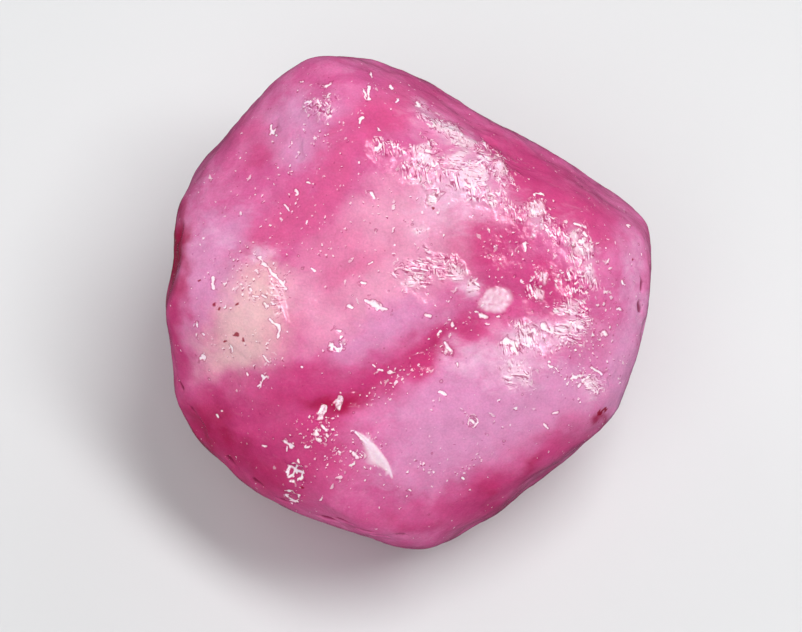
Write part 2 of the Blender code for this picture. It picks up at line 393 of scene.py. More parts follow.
    def hollow(self, places: Rows) -> Rows:
        """Depth of the round hollow, steepest at its right hand wall.

        Args:
            places: points of the broad face's plane.

        Returns:
            One depth for each place.
        """
        inward, turn = self.hollow_inward(places)
        steep = 0.5 + 0.5 * np.cos(turn - math.radians(self.hollow_wall_bearing))
        soft = self.hollow_soft_edge - self.hollow_steep_edge
        width = self.hollow_steep_edge + soft * (1.0 - steep)
        return (self.hollow_floor + self.hollow_wall * steep) * ease(inward / width)

    def dimple(self, places: Rows) -> Rows:
        """Depth of the soft dimple at the upper right."""
        apart = (places - np.array(self.dimple_centre)) / np.array(self.dimple_span)
        return self.dimple_depth * ease(1.0 - np.linalg.norm(apart, axis=1))

    def chip_distance(self, points: Rows, chip: tuple) -> Rows:
        """Wavering distance from a chip's middle, 1 at its rim."""
        uneven = 1.0 + waver(points, *self.chip_waver) + waver(points, *self.chip_nick)
        return oval(points, *chip[:-1]) * uneven

    def depth(self, points: Rows) -> Rows:
        """Depth taken from the broad face by all that is carved into it.

        Args:
            points: places of the rounded body.

        Returns:
            One depth for each point.
        """
        places = points[:, :2]
        depth = self.crease(points) + self.patch(points) + self.hollow(places) + self.dimple(places)
        for chip in self.chips:
            depth += bowl(self.chip_distance(points, chip), chip[-1])
        return depth * facing(points)


@dataclass
class SideRelief:
    """The rim's notches and slits, and the breaks and pits of the sides and the underside."""

    # Bearing and rise in degrees, radius and depth in millimetres.
    hollows: tuple = (
        (1.0, 5, 0.85, 0.16), (-7.0, 10, 0.60, 0.12), (-149, 10, 0.90, 0.18), (164, 14, 0.60, 0.12),
        (63, 21, 0.50, 0.13), (-80, -4, 0.80, 0.15), (92, -32, 3.4, 0.42), (142, -30, 3.2, 0.40),
        (-8, -28, 3.3, 0.36), (52, -36, 2.6, 0.30), (-84, -26, 3.0, 0.34), (-152, -24, 2.6, 0.30),
        (72, -22, 1.5, 0.20), (-58, -18, 1.4, 0.18), (162, -20, 1.6, 0.18), (-60, -48, 1.0, 0.45),
        (-140, -55, 0.8, 0.40), (20, -58, 0.9, 0.45), (110, -62, 1.1, 0.50), (80, -48, 0.7, 0.35),
        (-100, -46, 0.7, 0.32),
    )
    # Bearing and rise of both ends, half width and depth.
    slits: tuple = (
        ((-113, 16.5), (-107.5, 18.5), 0.19, 0.17),
        ((-109.5, 20.5), (-104.0, 21.5), 0.16, 0.15),
        ((-103.0, 18.5), (-98.5, 19.5), 0.19, 0.17),
        ((-98.0, 17.0), (-95.2, 16.5), 0.17, 0.15),
        ((-93.5, 19.0), (-91.0, 18.0), 0.15, 0.13),
        ((-139.5, 12.5), (-136, 13.5), 0.18, 0.15),
        ((-131.3, 16.0), (-127, 17.5), 0.17, 0.15),
        ((-123.5, 16.5), (-120, 17.0), 0.16, 0.13),
        ((-161, 11), (-157, 12.5), 0.15, 0.13),
        ((-154, 13), (-151, 13.5), 0.15, 0.13),
        ((5.5, 17), (1.6, 16), 0.14, 0.12),
        ((-0.5, 17), (-3.4, 15), 0.14, 0.12),
    )
    slit_reach: float = 11.0
    slit_stray: tuple = (0.10, 1.1, (71, 72, 73))
    slit_least: float = 0.35
    slit_taper: float = 0.3
    hollow_waver: tuple = (0.12, 1.8, 41)

    def slit_shape(self, points: Rows) -> Rows:
        """Depth of the narrow slits along the rim.

        Args:
            points: places of the rounded body.

        Returns:
            One depth for each point.
        """
        depth = np.zeros(len(points))
        places = self.slit_reach * points / np.linalg.norm(points, axis=1, keepdims=True)
        places += stray(points, *self.slit_stray)
        for start, end, width, bite in self.slits:
            first = self.slit_reach * heading(*start)
            step = self.slit_reach * heading(*end) - first
            apart = places - first
            along = np.clip(apart @ step / (step @ step), 0.0, 1.0)
            offset = np.linalg.norm(apart - along[:, None] * step, axis=1)
            full = ease(along / self.slit_taper) * ease((1.0 - along) / self.slit_taper)
            width = width * (self.slit_least + (1.0 - self.slit_least) * full)
            depth += bite * np.exp(-(offset / width) ** 2)
        return depth

    def depth(self, points: Rows, body: RoundedBody) -> Rows:
        """Depth taken by the notches, breaks, pits and slits.

        Args:
            points: places of the rounded body.
            body: the rounded body.

        Returns:
            One depth for each point.
        """
        depth = self.slit_shape(points)
        uneven = 1.0 + waver(points, *self.hollow_waver)
        for bearing, rise, radius, bite in self.hollows:
            distance = np.linalg.norm(points - body.point(bearing, rise), axis=1)
            depth += bowl(distance * uneven / radius, bite)
        return depth


@dataclass
class FineSkin:
    """Fine relief of the skin: crumpled and bubbled places, flecks, pocks and low ripples."""

    # For each mark: middle to the right and up, half length, half width, bearing, strength.
    places: tuple = (
        (Mark.CRUMPLE, (
            (1.7, 7.5, 1.5, 0.45, -38, 0.9), (0.8, 6.0, 1.3, 1.0, 0, 1.0), (2.6, 5.5, 1.0, 0.8, -20, 1.0),
            (3.9, 5.9, 1.3, 0.8, -38, 1.0), (5.8, 4.0, 0.6, 0.45, -35, 1.0),
            (2.6, 4.8, 1.3, 0.45, -28, 0.8), (4.5, 4.1, 1.2, 0.45, -33, 0.9),
            (6.6, 3.0, 1.0, 0.5, -48, 0.9), (-0.9, 6.6, 0.8, 0.5, -20, 0.7), (0.9, 1.3, 1.4, 0.7, 10, 0.9),
            (5.6, 0.6, 0.4, 0.6, 0, 0.9), (7.3, -0.3, 1.0, 0.7, 10, 0.75), (6.9, -1.4, 1.1, 0.6, 10, 0.75),
            (4.8, -3.3, 1.0, 0.9, 0, 0.38), (5.1, -1.9, 1.0, 0.8, 0, 0.72), (8.1, -3.9, 0.6, 0.5, 30, 0.9),
            (7.7, 2.2, 0.6, 1.3, 0, 0.7), (7.4, 0.7, 0.7, 0.9, 0, 0.65), (-4.0, 8.6, 0.8, 0.8, -60, 0.7),
            (-5.9, 0.1, 0.35, 1.2, 15, 0.5),
        )),
        # Patches of painted sheen: soft pale colour that stands in for broad highlights.
        (Mark.GLOW, (
            (1.7, 7.5, 0.8, 0.30, -38, 0.8), (2.3, 7.1, 0.55, 0.32, -20, 1.0),
            (0.5, 6.5, 0.42, 0.42, 0, 0.9), (0.9, 6.1, 0.60, 0.18, -20, 1.0),
            (2.2, 6.3, 0.60, 0.36, 10, 1.0), (2.75, 5.3, 0.70, 0.48, 0, 1.0),
            (3.6, 4.4, 0.55, 0.16, 100, 0.9), (1.0, 4.25, 0.36, 0.34, 0, 0.9),
            (4.15, 5.7, 0.50, 0.40, -30, 0.9), (0.4, 5.2, 0.45, 0.20, 15, 0.7),
            (0.3, 2.9, 0.50, 0.18, 10, 0.7), (5.75, 3.95, 0.42, 0.40, 0, 1.0),
            (7.4, 2.85, 0.30, 0.32, 0, 1.0), (7.8, 2.2, 0.36, 0.26, 0, 1.0),
            (8.0, 1.3, 0.52, 0.30, 95, 0.9), (5.55, 2.8, 0.26, 0.18, 80, 0.8),
            (5.95, 0.8, 0.28, 0.18, 80, 0.8), (5.85, 0.15, 0.26, 0.20, 90, 0.9),
            (0.15, 0.75, 0.55, 0.26, 15, 0.8), (2.0, 1.1, 0.45, 0.40, -40, 0.8),
            (2.85, 0.55, 0.32, 0.34, 0, 1.0), (7.2, -0.4, 0.75, 0.30, 25, 0.8),
            (6.9, -1.3, 0.80, 0.30, 10, 0.8), (5.2, -1.8, 0.55, 0.45, 0, 0.9),
            (4.7, -3.3, 0.70, 0.50, 0, 0.6), (8.1, -3.9, 0.40, 0.26, 40, 0.9),
        )),
        (Mark.DOTS, (
            (-4.0, -5.8, 1.1, 0.8, 0, 0.90), (-2.5, -7.0, 1.5, 1.1, 0, 0.55),
            (-1.0, -4.0, 1.3, 0.4, 30, 0.55), (1.1, -2.6, 1.2, 0.4, 40, 0.38),
            (2.2, -1.4, 1.4, 0.4, 35, 0.25), (-7.2, 1.0, 1.5, 1.5, 0, 0.42),
            (-7.0, -2.6, 1.8, 1.2, 0, 0.20), (-1.8, 4.0, 2.6, 2.0, 0, 0.14), (-4.6, 3.0, 2.4, 2.0, 0, 0.12),
            (5.0, 2.2, 1.6, 1.6, 0, 0.20), (7.8, -2.2, 1.4, 2.0, 0, 0.45), (-4.6, 6.6, 2.4, 1.6, 60, 0.12),
            (0.75, -7.6, 0.9, 0.16, -35, 0.95), (2.85, -7.4, 0.8, 0.16, 30, 0.95),
        )),
        (Mark.BUBBLE, (
            (7.8, 2.1, 2.2, 0.9, 100, 1.0), (8.3, 0.2, 1.3, 0.7, 90, 0.8), (6.6, 1.2, 1.2, 0.9, 60, 0.4),
        )),
    )
    # Middle to the right and up, half length, half width, bearing, density, bearing of the flecks.
    flecked: tuple = (
        (-4.1, 8.9, 1.7, 1.2, -60, 0.90, 100), (-1.9, 9.2, 0.9, 0.6, 80, 0.80, 85),
        (-3.0, 7.6, 1.6, 1.2, 0, 0.45, 80), (0.4, 6.4, 1.3, 1.3, 0, 0.75, 80),
        (-1.0, 4.0, 2.0, 1.6, 0, 0.25, 85), (-5.2, 4.2, 1.3, 1.0, 40, 0.45, 110),
        (0.6, 4.2, 1.2, 0.6, 0, 0.80, -12), (0.9, 1.8, 1.2, 0.9, 20, 0.60, 15),
        (2.3, 6.2, 1.6, 0.9, -30, 0.70, 20), (4.6, 5.2, 1.3, 0.9, -35, 0.70, 120),
        (6.6, -0.9, 1.5, 0.9, 0, 0.70, 10), (7.4, -1.8, 1.4, 1.0, 0, 0.60, 40),
        (5.0, -2.8, 1.6, 1.3, 0, 0.60, 110), (1.4, 0.5, 1.5, 0.8, 20, 0.85, 25),
        (1.0, -2.2, 2.4, 0.7, 36, 0.80, 40), (3.6, -0.8, 1.3, 0.6, 25, 0.50, 10),
        (-0.9, -3.4, 1.0, 0.5, 30, 0.70, 20), (-3.9, -6.0, 1.1, 1.0, 0, 0.80, 60),
        (-3.0, -7.3, 1.9, 1.4, 0, 0.55, 30), (-6.4, 0.3, 1.4, 1.5, 0, 0.80, -40),
        (-7.9, -0.9, 1.5, 2.0, 0, 0.50, 70), (-3.0, -1.8, 0.9, 1.2, 20, 0.60, 50),
        (8.6, 1.6, 1.2, 2.2, 0, 0.45, 80), (8.0, -3.8, 1.2, 0.7, 30, 0.70, 40),
        (1.8, -7.6, 2.0, 0.8, 10, 0.30, 30), (-9.2, -1.0, 0.5, 2.0, 0, 0.30, 90),
        (-7.3, 5.4, 2.2, 1.5, 50, 0.35, 70), (-8.4, 1.2, 1.2, 1.5, 0, 0.30, 80),
        (-2.0, 1.4, 2.2, 1.6, 0, 0.30, 60), (-6.6, -1.6, 1.6, 1.6, 0, 0.35, 110),
        (2.8, 2.6, 1.6, 1.4, 0, 0.45, 100), (5.2, 2.6, 1.4, 1.4, 0, 0.45, 80),
        (4.0, -5.0, 3.0, 1.6, 25, 0.20, 30), (8.6, 4.2, 1.8, 0.9, -50, 0.35, 140),
        (-5.0, -8.2, 1.6, 1.0, -30, 0.35, 60),
    )
    # Where the streak begins and ends, and half its width.
    streaks: tuple = (
        (-6.90, 1.87, -6.24, 1.28, 0.050), (-6.24, 1.25, -5.49, 0.39, 0.060),
        (-6.06, -0.96, -5.67, -1.17, 0.060), (-5.67, -1.17, -5.60, -1.40, 0.065),
        (-5.60, -1.40, -5.77, -1.71, 0.060), (-1.92, -0.12, -1.00, -0.53, 0.105),
        (-3.80, 9.66, -3.60, 9.83, 0.085), (-4.98, 9.82, -4.84, 9.86, 0.050),
        (-1.86, 9.00, -1.84, 9.60, 0.060), (-2.05, 9.45, -1.98, 9.15, 0.050),
        (-1.80, 10.35, -1.72, 10.20, 0.045), (-2.12, 8.05, -2.20, 7.75, 0.070),
        (-0.85, 9.65, -0.80, 9.55, 0.060), (0.34, 8.84, 0.46, 8.72, 0.080),
        (-0.60, 8.85, -0.52, 9.05, 0.045), (-6.30, 7.70, -6.15, 7.50, 0.070),
        (-6.02, 7.38, -5.98, 7.32, 0.060), (-4.62, 5.18, -4.48, 5.10, 0.075),
        (-5.10, 4.86, -5.06, 4.74, 0.050), (-5.65, 4.25, -5.50, 3.95, 0.060),
        (-1.48, 6.58, -1.22, 6.82, 0.080), (-1.70, 4.70, -1.62, 4.45, 0.055),
        (-4.40, 1.35, -4.28, 1.25, 0.045), (-1.85, 1.50, -1.62, 1.58, 0.050),
        (-2.10, 0.70, -1.98, 0.66, 0.075), (-2.70, -0.36, -2.55, -0.46, 0.075),
        (-3.25, -1.40, -3.05, -1.42, 0.070), (-3.45, -2.05, -3.25, -2.30, 0.060),
        (-3.25, -2.30, -3.00, -2.22, 0.075), (-3.00, -2.22, -3.02, -2.00, 0.060),
        (-6.30, -0.20, -6.18, -0.34, 0.060), (-7.00, 0.42, -6.90, 0.30, 0.060),
        (-6.55, -2.60, -6.25, -2.85, 0.045), (-8.10, -2.10, -8.00, -2.40, 0.050),
        (5.60, 3.98, 5.88, 3.90, 0.140), (-9.45, -1.15, -9.42, -1.25, 0.070),
        (-9.20, -1.58, -9.14, -1.62, 0.055), (-9.50, -2.75, -9.30, -2.62, 0.075),
        (-8.85, 0.95, -8.80, 0.65, 0.060), (-8.82, 0.62, -8.72, 0.45, 0.060),
        (-7.40, -3.45, -7.32, -3.50, 0.055), (-6.85, -3.95, -6.45, -3.52, 0.045),
        (-6.75, -3.75, -6.72, -3.98, 0.050), (-4.80, -3.05, -4.76, -3.08, 0.060),
        (-6.85, 0.12, -6.62, 0.06, 0.055), (-6.45, 0.10, -6.22, 0.02, 0.060),
        (-4.10, -5.75, -4.05, -5.95, 0.090), (-3.80, -5.60, -3.62, -5.75, 0.080),
        (-4.02, -6.18, -3.88, -6.25, 0.080), (-3.60, -5.95, -3.56, -6.05, 0.070),
        (-5.35, -7.48, -5.02, -7.80, 0.070), (-5.02, -7.52, -5.30, -7.95, 0.060),
        (-4.98, -7.72, -4.72, -7.76, 0.070), (-5.45, -6.30, -5.12, -6.52, 0.075),
        (-5.42, -6.72, -5.36, -6.50, 0.060), (-6.42, -6.42, -6.32, -6.46, 0.060),
        (-8.70, -5.28, -8.64, -5.40, 0.070), (-4.92, -7.12, -4.88, -7.20, 0.055),
        (-2.55, -7.00, -2.35, -7.25, 0.060), (-2.20, -7.05, -2.12, -7.15, 0.055),
        (-3.20, -6.85, -3.12, -6.95, 0.050), (0.75, -0.75, 0.95, -0.85, 0.085),
        (1.75, -2.28, 1.88, -2.34, 0.120), (1.40, -1.75, 1.50, -1.60, 0.070),
        (2.05, -1.20, 2.12, -1.35, 0.075), (3.42, -0.80, 3.62, -0.86, 0.085),
        (3.95, -0.85, 4.05, -0.80, 0.060), (-0.95, -3.40, -0.85, -3.50, 0.065),
        (-1.45, -3.35, -1.30, -3.40, 0.060), (-1.65, -3.10, -1.55, -3.20, 0.050),
        (2.10, -2.90, 2.16, -3.00, 0.060), (1.30, -4.15, 1.55, -4.25, 0.055),
        (4.25, -1.90, 4.70, -2.05, 0.150), (5.95, -1.25, 6.35, -1.50, 0.110),
        (8.55, -1.48, 8.62, -1.58, 0.095), (9.20, -0.45, 9.26, -0.50, 0.075),
        (7.55, -3.95, 7.66, -3.84, 0.075), (7.78, -3.74, 7.88, -3.64, 0.085),
        (8.00, -3.58, 8.10, -3.50, 0.070), (8.25, -3.15, 8.60, -3.40, 0.070),
        (7.25, -3.62, 7.45, -3.55, 0.060), (6.10, -2.92, 6.30, -3.02, 0.050),
        (6.00, -5.60, 6.10, -5.75, 0.055), (6.35, -5.10, 6.50, -5.05, 0.045),
        (-2.36, -5.95, -1.94, -6.46, 0.085), (2.74, -5.44, 2.84, -5.54, 0.100),
        (2.35, -8.02, 2.42, -8.08, 0.060), (-0.05, -8.55, 0.02, -8.60, 0.050),
        (5.75, 4.75, 5.95, 4.72, 0.045), (7.35, 3.35, 7.60, 3.20, 0.050), (7.75, 2.95, 7.85, 2.75, 0.080),
        (7.62, 2.55, 7.72, 2.50, 0.075), (5.20, 2.45, 5.25, 2.15, 0.085), (0.15, 10.25, 0.22, 10.15, 0.080),
        (0.50, 10.00, 0.70, 9.90, 0.070), (9.95, 3.35, 10.0, 3.25, 0.045), (9.30, 0.75, 9.36, 0.62, 0.050),
    )
    place_reach: float = 1.35
    place_edge: float = 0.9
    edge_waves: tuple = ((0.30, 1.1), (0.18, 0.5))
    place_seed: int = 91
    fleck_seed: int = 94
    open_lay: float = 0.25
    lay_waver: tuple = (0.15, 4.0, 96)
    raised_from: float = 0.02
    groove_depth: float = 0.0275
    groove_full: float = 0.8
    streak_stray: tuple = (0.035, 0.55, (99, 100))
    streak_wavers: tuple = ((0.42, 0.34, 93), (0.22, 0.18, 98))
    streak_fade: float = 0.7
    folds: int = 7
    fold_stray: tuple = (0.16, 1.4, (83, 84, 85))
    fold_length: tuple = (0.45, 1.15)
    fold_tilt: tuple = (-0.4, 0.4)
    fold_slope: float = 0.13
    bubble: float = 0.36
    bubble_height: float = 0.018
    pock_count: int = 240
    pock_radius: tuple = (0.04, 0.12)
    pock_rarity: float = 3.0
    pock_depth: float = 0.20
    pock_reach: float = 1.6
    pock_rim: float = 0.04
    pock_rim_at: float = 1.15
    pock_rim_width: float = 0.22
    # Height and wavelength in millimetres, and seed, as waver takes them.
    ripples: tuple = ((0.007, 0.62, 81), (0.0035, 0.36, 82))
    seed: int = 11

    def ragged(self, points: Rows, seed: int) -> Rows:
        """How far the edges of the places stray, in half widths."""
        broad, narrow = self.edge_waves
        return waver(points, *broad, seed) + waver(points, *narrow, seed + 1)

    def inside(self, points: Rows, form: tuple, ragged: Rows) -> Rows:
        """How far each point is inside an oval place with ragged edges, from 0 to 1."""
        return ease((self.place_reach - oval(points, *form) + ragged) / self.place_edge)

    def amount(self, points: Rows, mark: Mark) -> Rows:
        """How much of one mark the skin carries at each point, with ragged edges.

        Args:
            points: places of the rounded body.
            mark: the mark.

        Returns:
            Values from 0 to 1.
        """
        ragged = self.ragged(points, self.place_seed)
        amount = np.zeros(len(points))
        for *form, strength in dict(self.places)[mark]:
            amount = np.maximum(amount, strength * self.inside(points, form, ragged))
        return amount * facing(points)

    def crumple(self, points: Rows) -> Rows:
        """Height of the flat facets and sharp folds wherever the skin is crumpled.

        Args:
            points: places of the rounded body.

        Returns:
            One height for each point.
        """
        height = np.zeros(len(points))
        amount = self.amount(points, Mark.CRUMPLE)
        broken = np.flatnonzero(amount > self.raised_from)
        dice = np.random.default_rng(self.seed + 3)
        places = points[broken] + stray(points[broken], *self.fold_stray)
        for turn in np.arange(self.folds) * math.pi / self.folds:
            length = dice.uniform(*self.fold_length)
            way = np.array((math.cos(turn), math.sin(turn), dice.uniform(*self.fold_tilt)))
            step = (places @ way / length + dice.random()) % 1.0
            height[broken] += self.fold_slope * length * np.abs(step - 0.5)
        return (height - height.max() / 2.0) * amount

    def flecks(self, points: Rows) -> tuple[Rows, Rows]:
        """How thickly the skin is flecked, and how the flecks lie.

        Args:
            points: places of the rounded body.

        Returns:
            Density from 0 to 1, and the bearing of the flecks in turns.
        """
        ragged = self.ragged(points, self.fleck_seed)
        density = np.zeros(len(points))
        lay = self.open_lay + waver(points, *self.lay_waver)
        for *form, strength, bearing in self.flecked:
            share = self.inside(points, form, ragged)
            lay += (bearing / 360.0 - lay) * share
            density = np.maximum(density, strength * share)
        return density * facing(points), lay

    def bubbles(self, points: Rows) -> Rows:
        """Height of small domes that stand side by side wherever the skin is bubbled.

        Args:
            points: places of the rounded body.

        Returns:
            One height for each point.
        """
        height = np.zeros(len(points))
        amount = self.amount(points, Mark.BUBBLE)
        raised = np.flatnonzero(amount > self.raised_from)
        dice = np.random.default_rng(self.seed + 2)
        low, high = points[raised].min(axis=0), points[raised].max(axis=0)
        count = int(np.prod(high - low) / self.bubble ** 3)
        tree = kdtree.KDTree(count)
        for index, middle in enumerate(dice.uniform(low, high, size=(count, 3))):
            tree.insert(middle, index)
        tree.balance()
        away = np.array([tree.find(point)[2] for point in points[raised]]) / self.bubble
        height[raised] = self.bubble_height * (0.5 - 2.0 * away ** 2)
        return height * amount

    def streak_share(self, points: Rows) -> Rows:
        """How far each point is inside a streak, from 0 at its edge to 1 on its line.

        Args:
            points: places of the rounded body.

        Returns:
            One share for each point.
        """
        share = np.zeros(len(points))
        broad, narrow = self.streak_wavers
        uneven = 1.0 + waver(points, *broad) + waver(points, *narrow)
        places = points[:, :2] + stray(points, *self.streak_stray)
        front = facing(points)
        for across, up, far_across, far_up, width in self.streaks:
            start = np.array((across, up))
            step = np.array((far_across, far_up)) - start
            apart = places - start
            along = np.clip(apart @ step / (step @ step), 0.0, 1.0)
            away = np.linalg.norm(apart - along[:, None] * step, axis=1) / width * uneven
            share = np.maximum(share, np.maximum(1.0 - self.streak_fade * away, 0.0))
        return share * front

    def grooves(self, points: Rows) -> Rows:
        """Depth of the shallow grooves under the streaks."""
        return self.groove_depth * ease(self.streak_share(points) / self.groove_full)

    def pock_sites(self, body: RoundedBody) -> tuple[Rows, Rows]:
        """Places and radii of the small pocks, spread over the whole stone.

        Args:
            body: the rounded body.

        Returns:
            The places, one row each, and the radii.
        """
        dice = np.random.default_rng(self.seed + 1)
        rays = dice.normal(size=(self.pock_count, 3))
        rays /= np.linalg.norm(rays, axis=1, keepdims=True)
        least, most = self.pock_radius
        radii = least + (most - least) * dice.random(self.pock_count) ** self.pock_rarity
        return rays * body.worn(rays)[:, None], radii

    def pocks(self, points: Rows, body: RoundedBody) -> tuple[Rows, Rows]:
        """Depth of the small pocks, and a mask of their floors.

        Args:
            points: places of the rounded body.
            body: the rounded body.

        Returns:
            The depth in millimetres, and the mask from 0 to 1.
        """
        tree = kdtree.KDTree(len(points))
        for index, point in enumerate(points):
            tree.insert(point, index)
        tree.balance()
        depth = np.zeros(len(points))
        floor = np.zeros(len(points))
        for place, radius in zip(*self.pock_sites(body)):
            for _, index, distance in tree.find_range(place, radius * self.pock_reach):
                share = distance / radius
                rim = self.pock_rim * math.exp(-((share - self.pock_rim_at) / self.pock_rim_width) ** 2)
                depth[index] += radius * self.pock_depth * (max(0.0, 1.0 - share ** 2) - rim)
                floor[index] = max(floor[index], 1.0 - share)
        return depth, floor

    def depth(self, points: Rows, body: RoundedBody) -> Rows:
        """Depth taken from the skin by all of its fine relief.

        Args:
            points: places of the rounded body.
            body: the rounded body.

        Returns:
            One depth for each point.
        """
        depth = self.pocks(points, body)[0] + self.grooves(points)
        for ripple in self.ripples:
            depth -= waver(points, *ripple)
        return depth - self.crumple(points) - self.bubbles(points)


@dataclass
class Clouding:
    """All clouds of colour, with drifting edges, and looser ones for the hidden sides; on the broad face
    some of them are painted shade and painted sheen.
    """

    # For each tint: middle to the right and up, half length, half width, bearing, strength.
    clouds: tuple = (
        # Deep clouds: partly the stone's own deeper colour, partly painted shade on the crease's upper
        # slope, the dimple and the slopes turned from the light.
        (Tint.DEEP_AND_SHADE, (
            (-8.0, -6.4, 3, 1.8, -30, 0.95), (-5.5, -8.1, 2, 1.2, -35, 0.60),
            (-4.4, -4.5, 2.5, 0.74, 8, 0.95), (-7.8, -4.9, 1.8, 0.74, 5, 0.60),
            (-1.6, -3.9, 1.5, 0.55, 22, 0.95), (1.0, -2.3, 1.7, 0.55, 38, 0.95),
            (3.2, -1.1, 1.6, 0.55, 25, 0.68), (3.7, 2.4, 1.9, 1.7, 0, 0.80),
            (4.6, 4.1, 0.9, 1.0, -40, 0.30), (4.2, 0.6, 1.2, 0.83, 20, 0.30), (6.3, 4.9, 3, 1.1, -36, 0.85),
            (8.3, 3.5, 1.6, 0.92, -50, 0.45), (4.2, 6.9, 2, 0.74, -33, 0.55),
            (1.0, 9.4, 1.6, 0.87, -33, 0.50), (5.5, -7.6, 2.9, 0.9, 38, 0.60),
            (3.3, -8.9, 1.9, 0.92, 25, 0.75), (6.9, -6.5, 1.5, 0.69, 45, 0.35),
            (-0.2, -10.0, 2.6, 0.78, -3, 0.55), (-10.4, -1.4, 2.8, 0.55, 90, 0.85),
            (-3.8, -7.0, 1.5, 1.2, 0, 0.45), (-4.6, -3.3, 1.7, 0.9, 8, 0.75),
            (0.5, -2.9, 0.9, 0.6, 35, 0.85), (-6.9, 6.5, 1.3, 0.8, 40, 0.62),
            (-1.3, 7.9, 1.4, 1.1, 60, 0.50), (-5.8, -6.5, 1.8, 0.9, 0, 0.75), (6.1, 0.9, 0.9, 0.7, 0, 0.50),
            (-4.0, -5.7, 1.2, 0.8, 0, 0.60), (-6.9, 8.0, 0.9, 0.8, 30, 0.30), (6.6, 0.2, 1.3, 1.0, 0, 0.62),
            (-0.8, -2.5, 1.2, 0.64, 20, 0.25),
        )),
        (Tint.WARM, (
            (-3.0, 6.1, 2.6, 0.78, 61, 0.85), (-5.0, 4.0, 1.9, 1, 35, 0.80),
            (-6.6, 2.7, 1.2, 0.69, 20, 0.70), (-3.6, 2.2, 1.6, 1, 30, 0.40),
            (-2.6, 1.1, 1.5, 0.7, 35, 0.55), (-1.2, 8.4, 1.4, 0.92, 60, 0.95),
            (-7.3, 8.0, 0.83, 0.46, 40, 0.50), (-5.4, -1.4, 0.92, 0.64, 0, 0.40),
        )),
        (Tint.SALMON, (
            (-0.4, 3.4, 2.8, 2.1, 30, 0.95), (-1.2, 0.6, 2.3, 1.5, 20, 0.80),
            (-4.8, -0.1, 1.4, 1.8, 0, 0.70), (-3.0, 2.2, 1.7, 1.2, 20, 0.25),
            (1.9, 1.8, 1.6, 1.1, 20, 0.60), (-3.2, -1.4, 1.7, 1.1, 0, 0.45),
        )),
        # Milky clouds: partly the stone's own milky haze, partly painted sheen where highlights fall.
        (Tint.MILKY_AND_SHEEN, (
            (2.0, 4.5, 1.8, 1.5, 0, 0.75), (0.5, 2.7, 0.9, 0.7, 0, 0.35), (-8.6, 2.8, 0.9, 0.6, 0, 0.30),
            (1.2, 5.9, 1.6, 0.74, -25, 0.30), (2.3, 6.4, 2, 0.74, -38, 0.15),
            (3.7, 5.5, 1.2, 0.64, -38, 0.30), (5.8, 3.8, 0.80, 0.5, -35, 0.60),
            (7.7, 2.2, 1.5, 0.6, 100, 0.45), (4.9, -1.9, 1.2, 0.83, 10, 0.70),
            (6.5, -1.4, 1.3, 0.78, 0, 0.65), (4.7, -3.2, 1.4, 1.1, 0, 0.55),
            (2.6, -2.7, 1.1, 0.69, 20, 0.60), (2.6, 0.5, 0.6, 0.41, 0, 0.90),
            (-6.8, 2.0, 0.74, 0.46, -20, 0.70), (0.5, 8.2, 1.2, 0.41, -38, 0.35),
            (1.6, 7.5, 1.4, 0.50, -38, 0.45), (8.1, -4.0, 0.64, 0.46, 0, 0.45),
            (9.95, 1.0, 2.4, 0.36, 91, 0.25), (3.8, 8.3, 0.41, 0.28, 0, 0.80),
        )),
        # Lilac clouds: partly the stone's own paler colour, partly a painted reflection of the light on the
        # lobe below the crease and on the rims.
        (Tint.LILAC_AND_SHEEN, (
            (4.2, -4.9, 3.9, 1.9, 25, 0.95), (1.4, -5.6, 2.7, 2, 0, 0.90), (0.3, -7.9, 1.8, 1.3, 0, 0.50),
            (2.6, -2.9, 1.2, 0.92, 20, 0.80), (-0.4, -1.1, 2.1, 1, 15, 0.80),
            (-2.4, -2.4, 1.2, 0.7, 12, 0.75), (-3.1, -6.5, 1.1, 0.83, 0, 0.15),
            (-8.3, 2.9, 1.8, 1.1, 20, 0.90), (-8.9, 0.9, 1.3, 1.1, 80, 0.80),
            (-9.8, -0.1, 2.8, 0.64, 88, 0.60), (-4.8, 8.3, 1.7, 1.2, 0, 0.85),
            (-5.0, 6.5, 1.4, 0.92, 0, 0.85), (8.8, 0.0, 2.8, 0.92, 85, 0.20),
            (9.4, -3.6, 1.5, 0.8, 80, 0.85), (9.95, -0.6, 3.0, 0.66, 91, 0.80),
            (9.7, -3.4, 1.7, 0.7, 88, 0.80), (9.8, 2.6, 1.1, 0.6, 95, 0.50),
            (6.7, -4.5, 1.8, 1.2, 35, 0.70), (-9.2, 5.0, 1.1, 0.64, 60, 0.35),
        )),
        (Tint.BEIGE, (
            (-7.1, -0.6, 2.1, 1.5, 100, 1.00), (-8.0, -2.6, 1.6, 1.1, 20, 0.80),
            (-9.0, -1.7, 1.6, 0.78, 80, 0.30), (-6.5, 0.6, 1.1, 0.92, 0, 0.60),
        )),
        # Crimson clouds: partly the stone's own deep red, partly painted shade on the left side and the
        # lower left, which lie away from the light.
        (Tint.CRIMSON_AND_SHADE, (
            (-10.75, 2.5, 2.5, 0.68, 88, 1.00), (-9.1, -6.0, 1.6, 1.1, -50, 0.55),
            (-6.8, -7.5, 2.1, 0.92, -35, 0.45), (-7.3, -9.3, 2.3, 0.55, -38, 0.60),
            (8.6, -5.2, 0.41, 0.32, 0, 0.70), (3.5, -8.9, 0.74, 0.46, 0, 0.45),
            (5.5, -7.5, 0.74, 0.37, 40, 0.45), (-3.4, -4.7, 1.6, 0.50, 5, 0.90),
            (1.4, -2.0, 1.2, 0.28, 38, 0.35),
        )),
    )
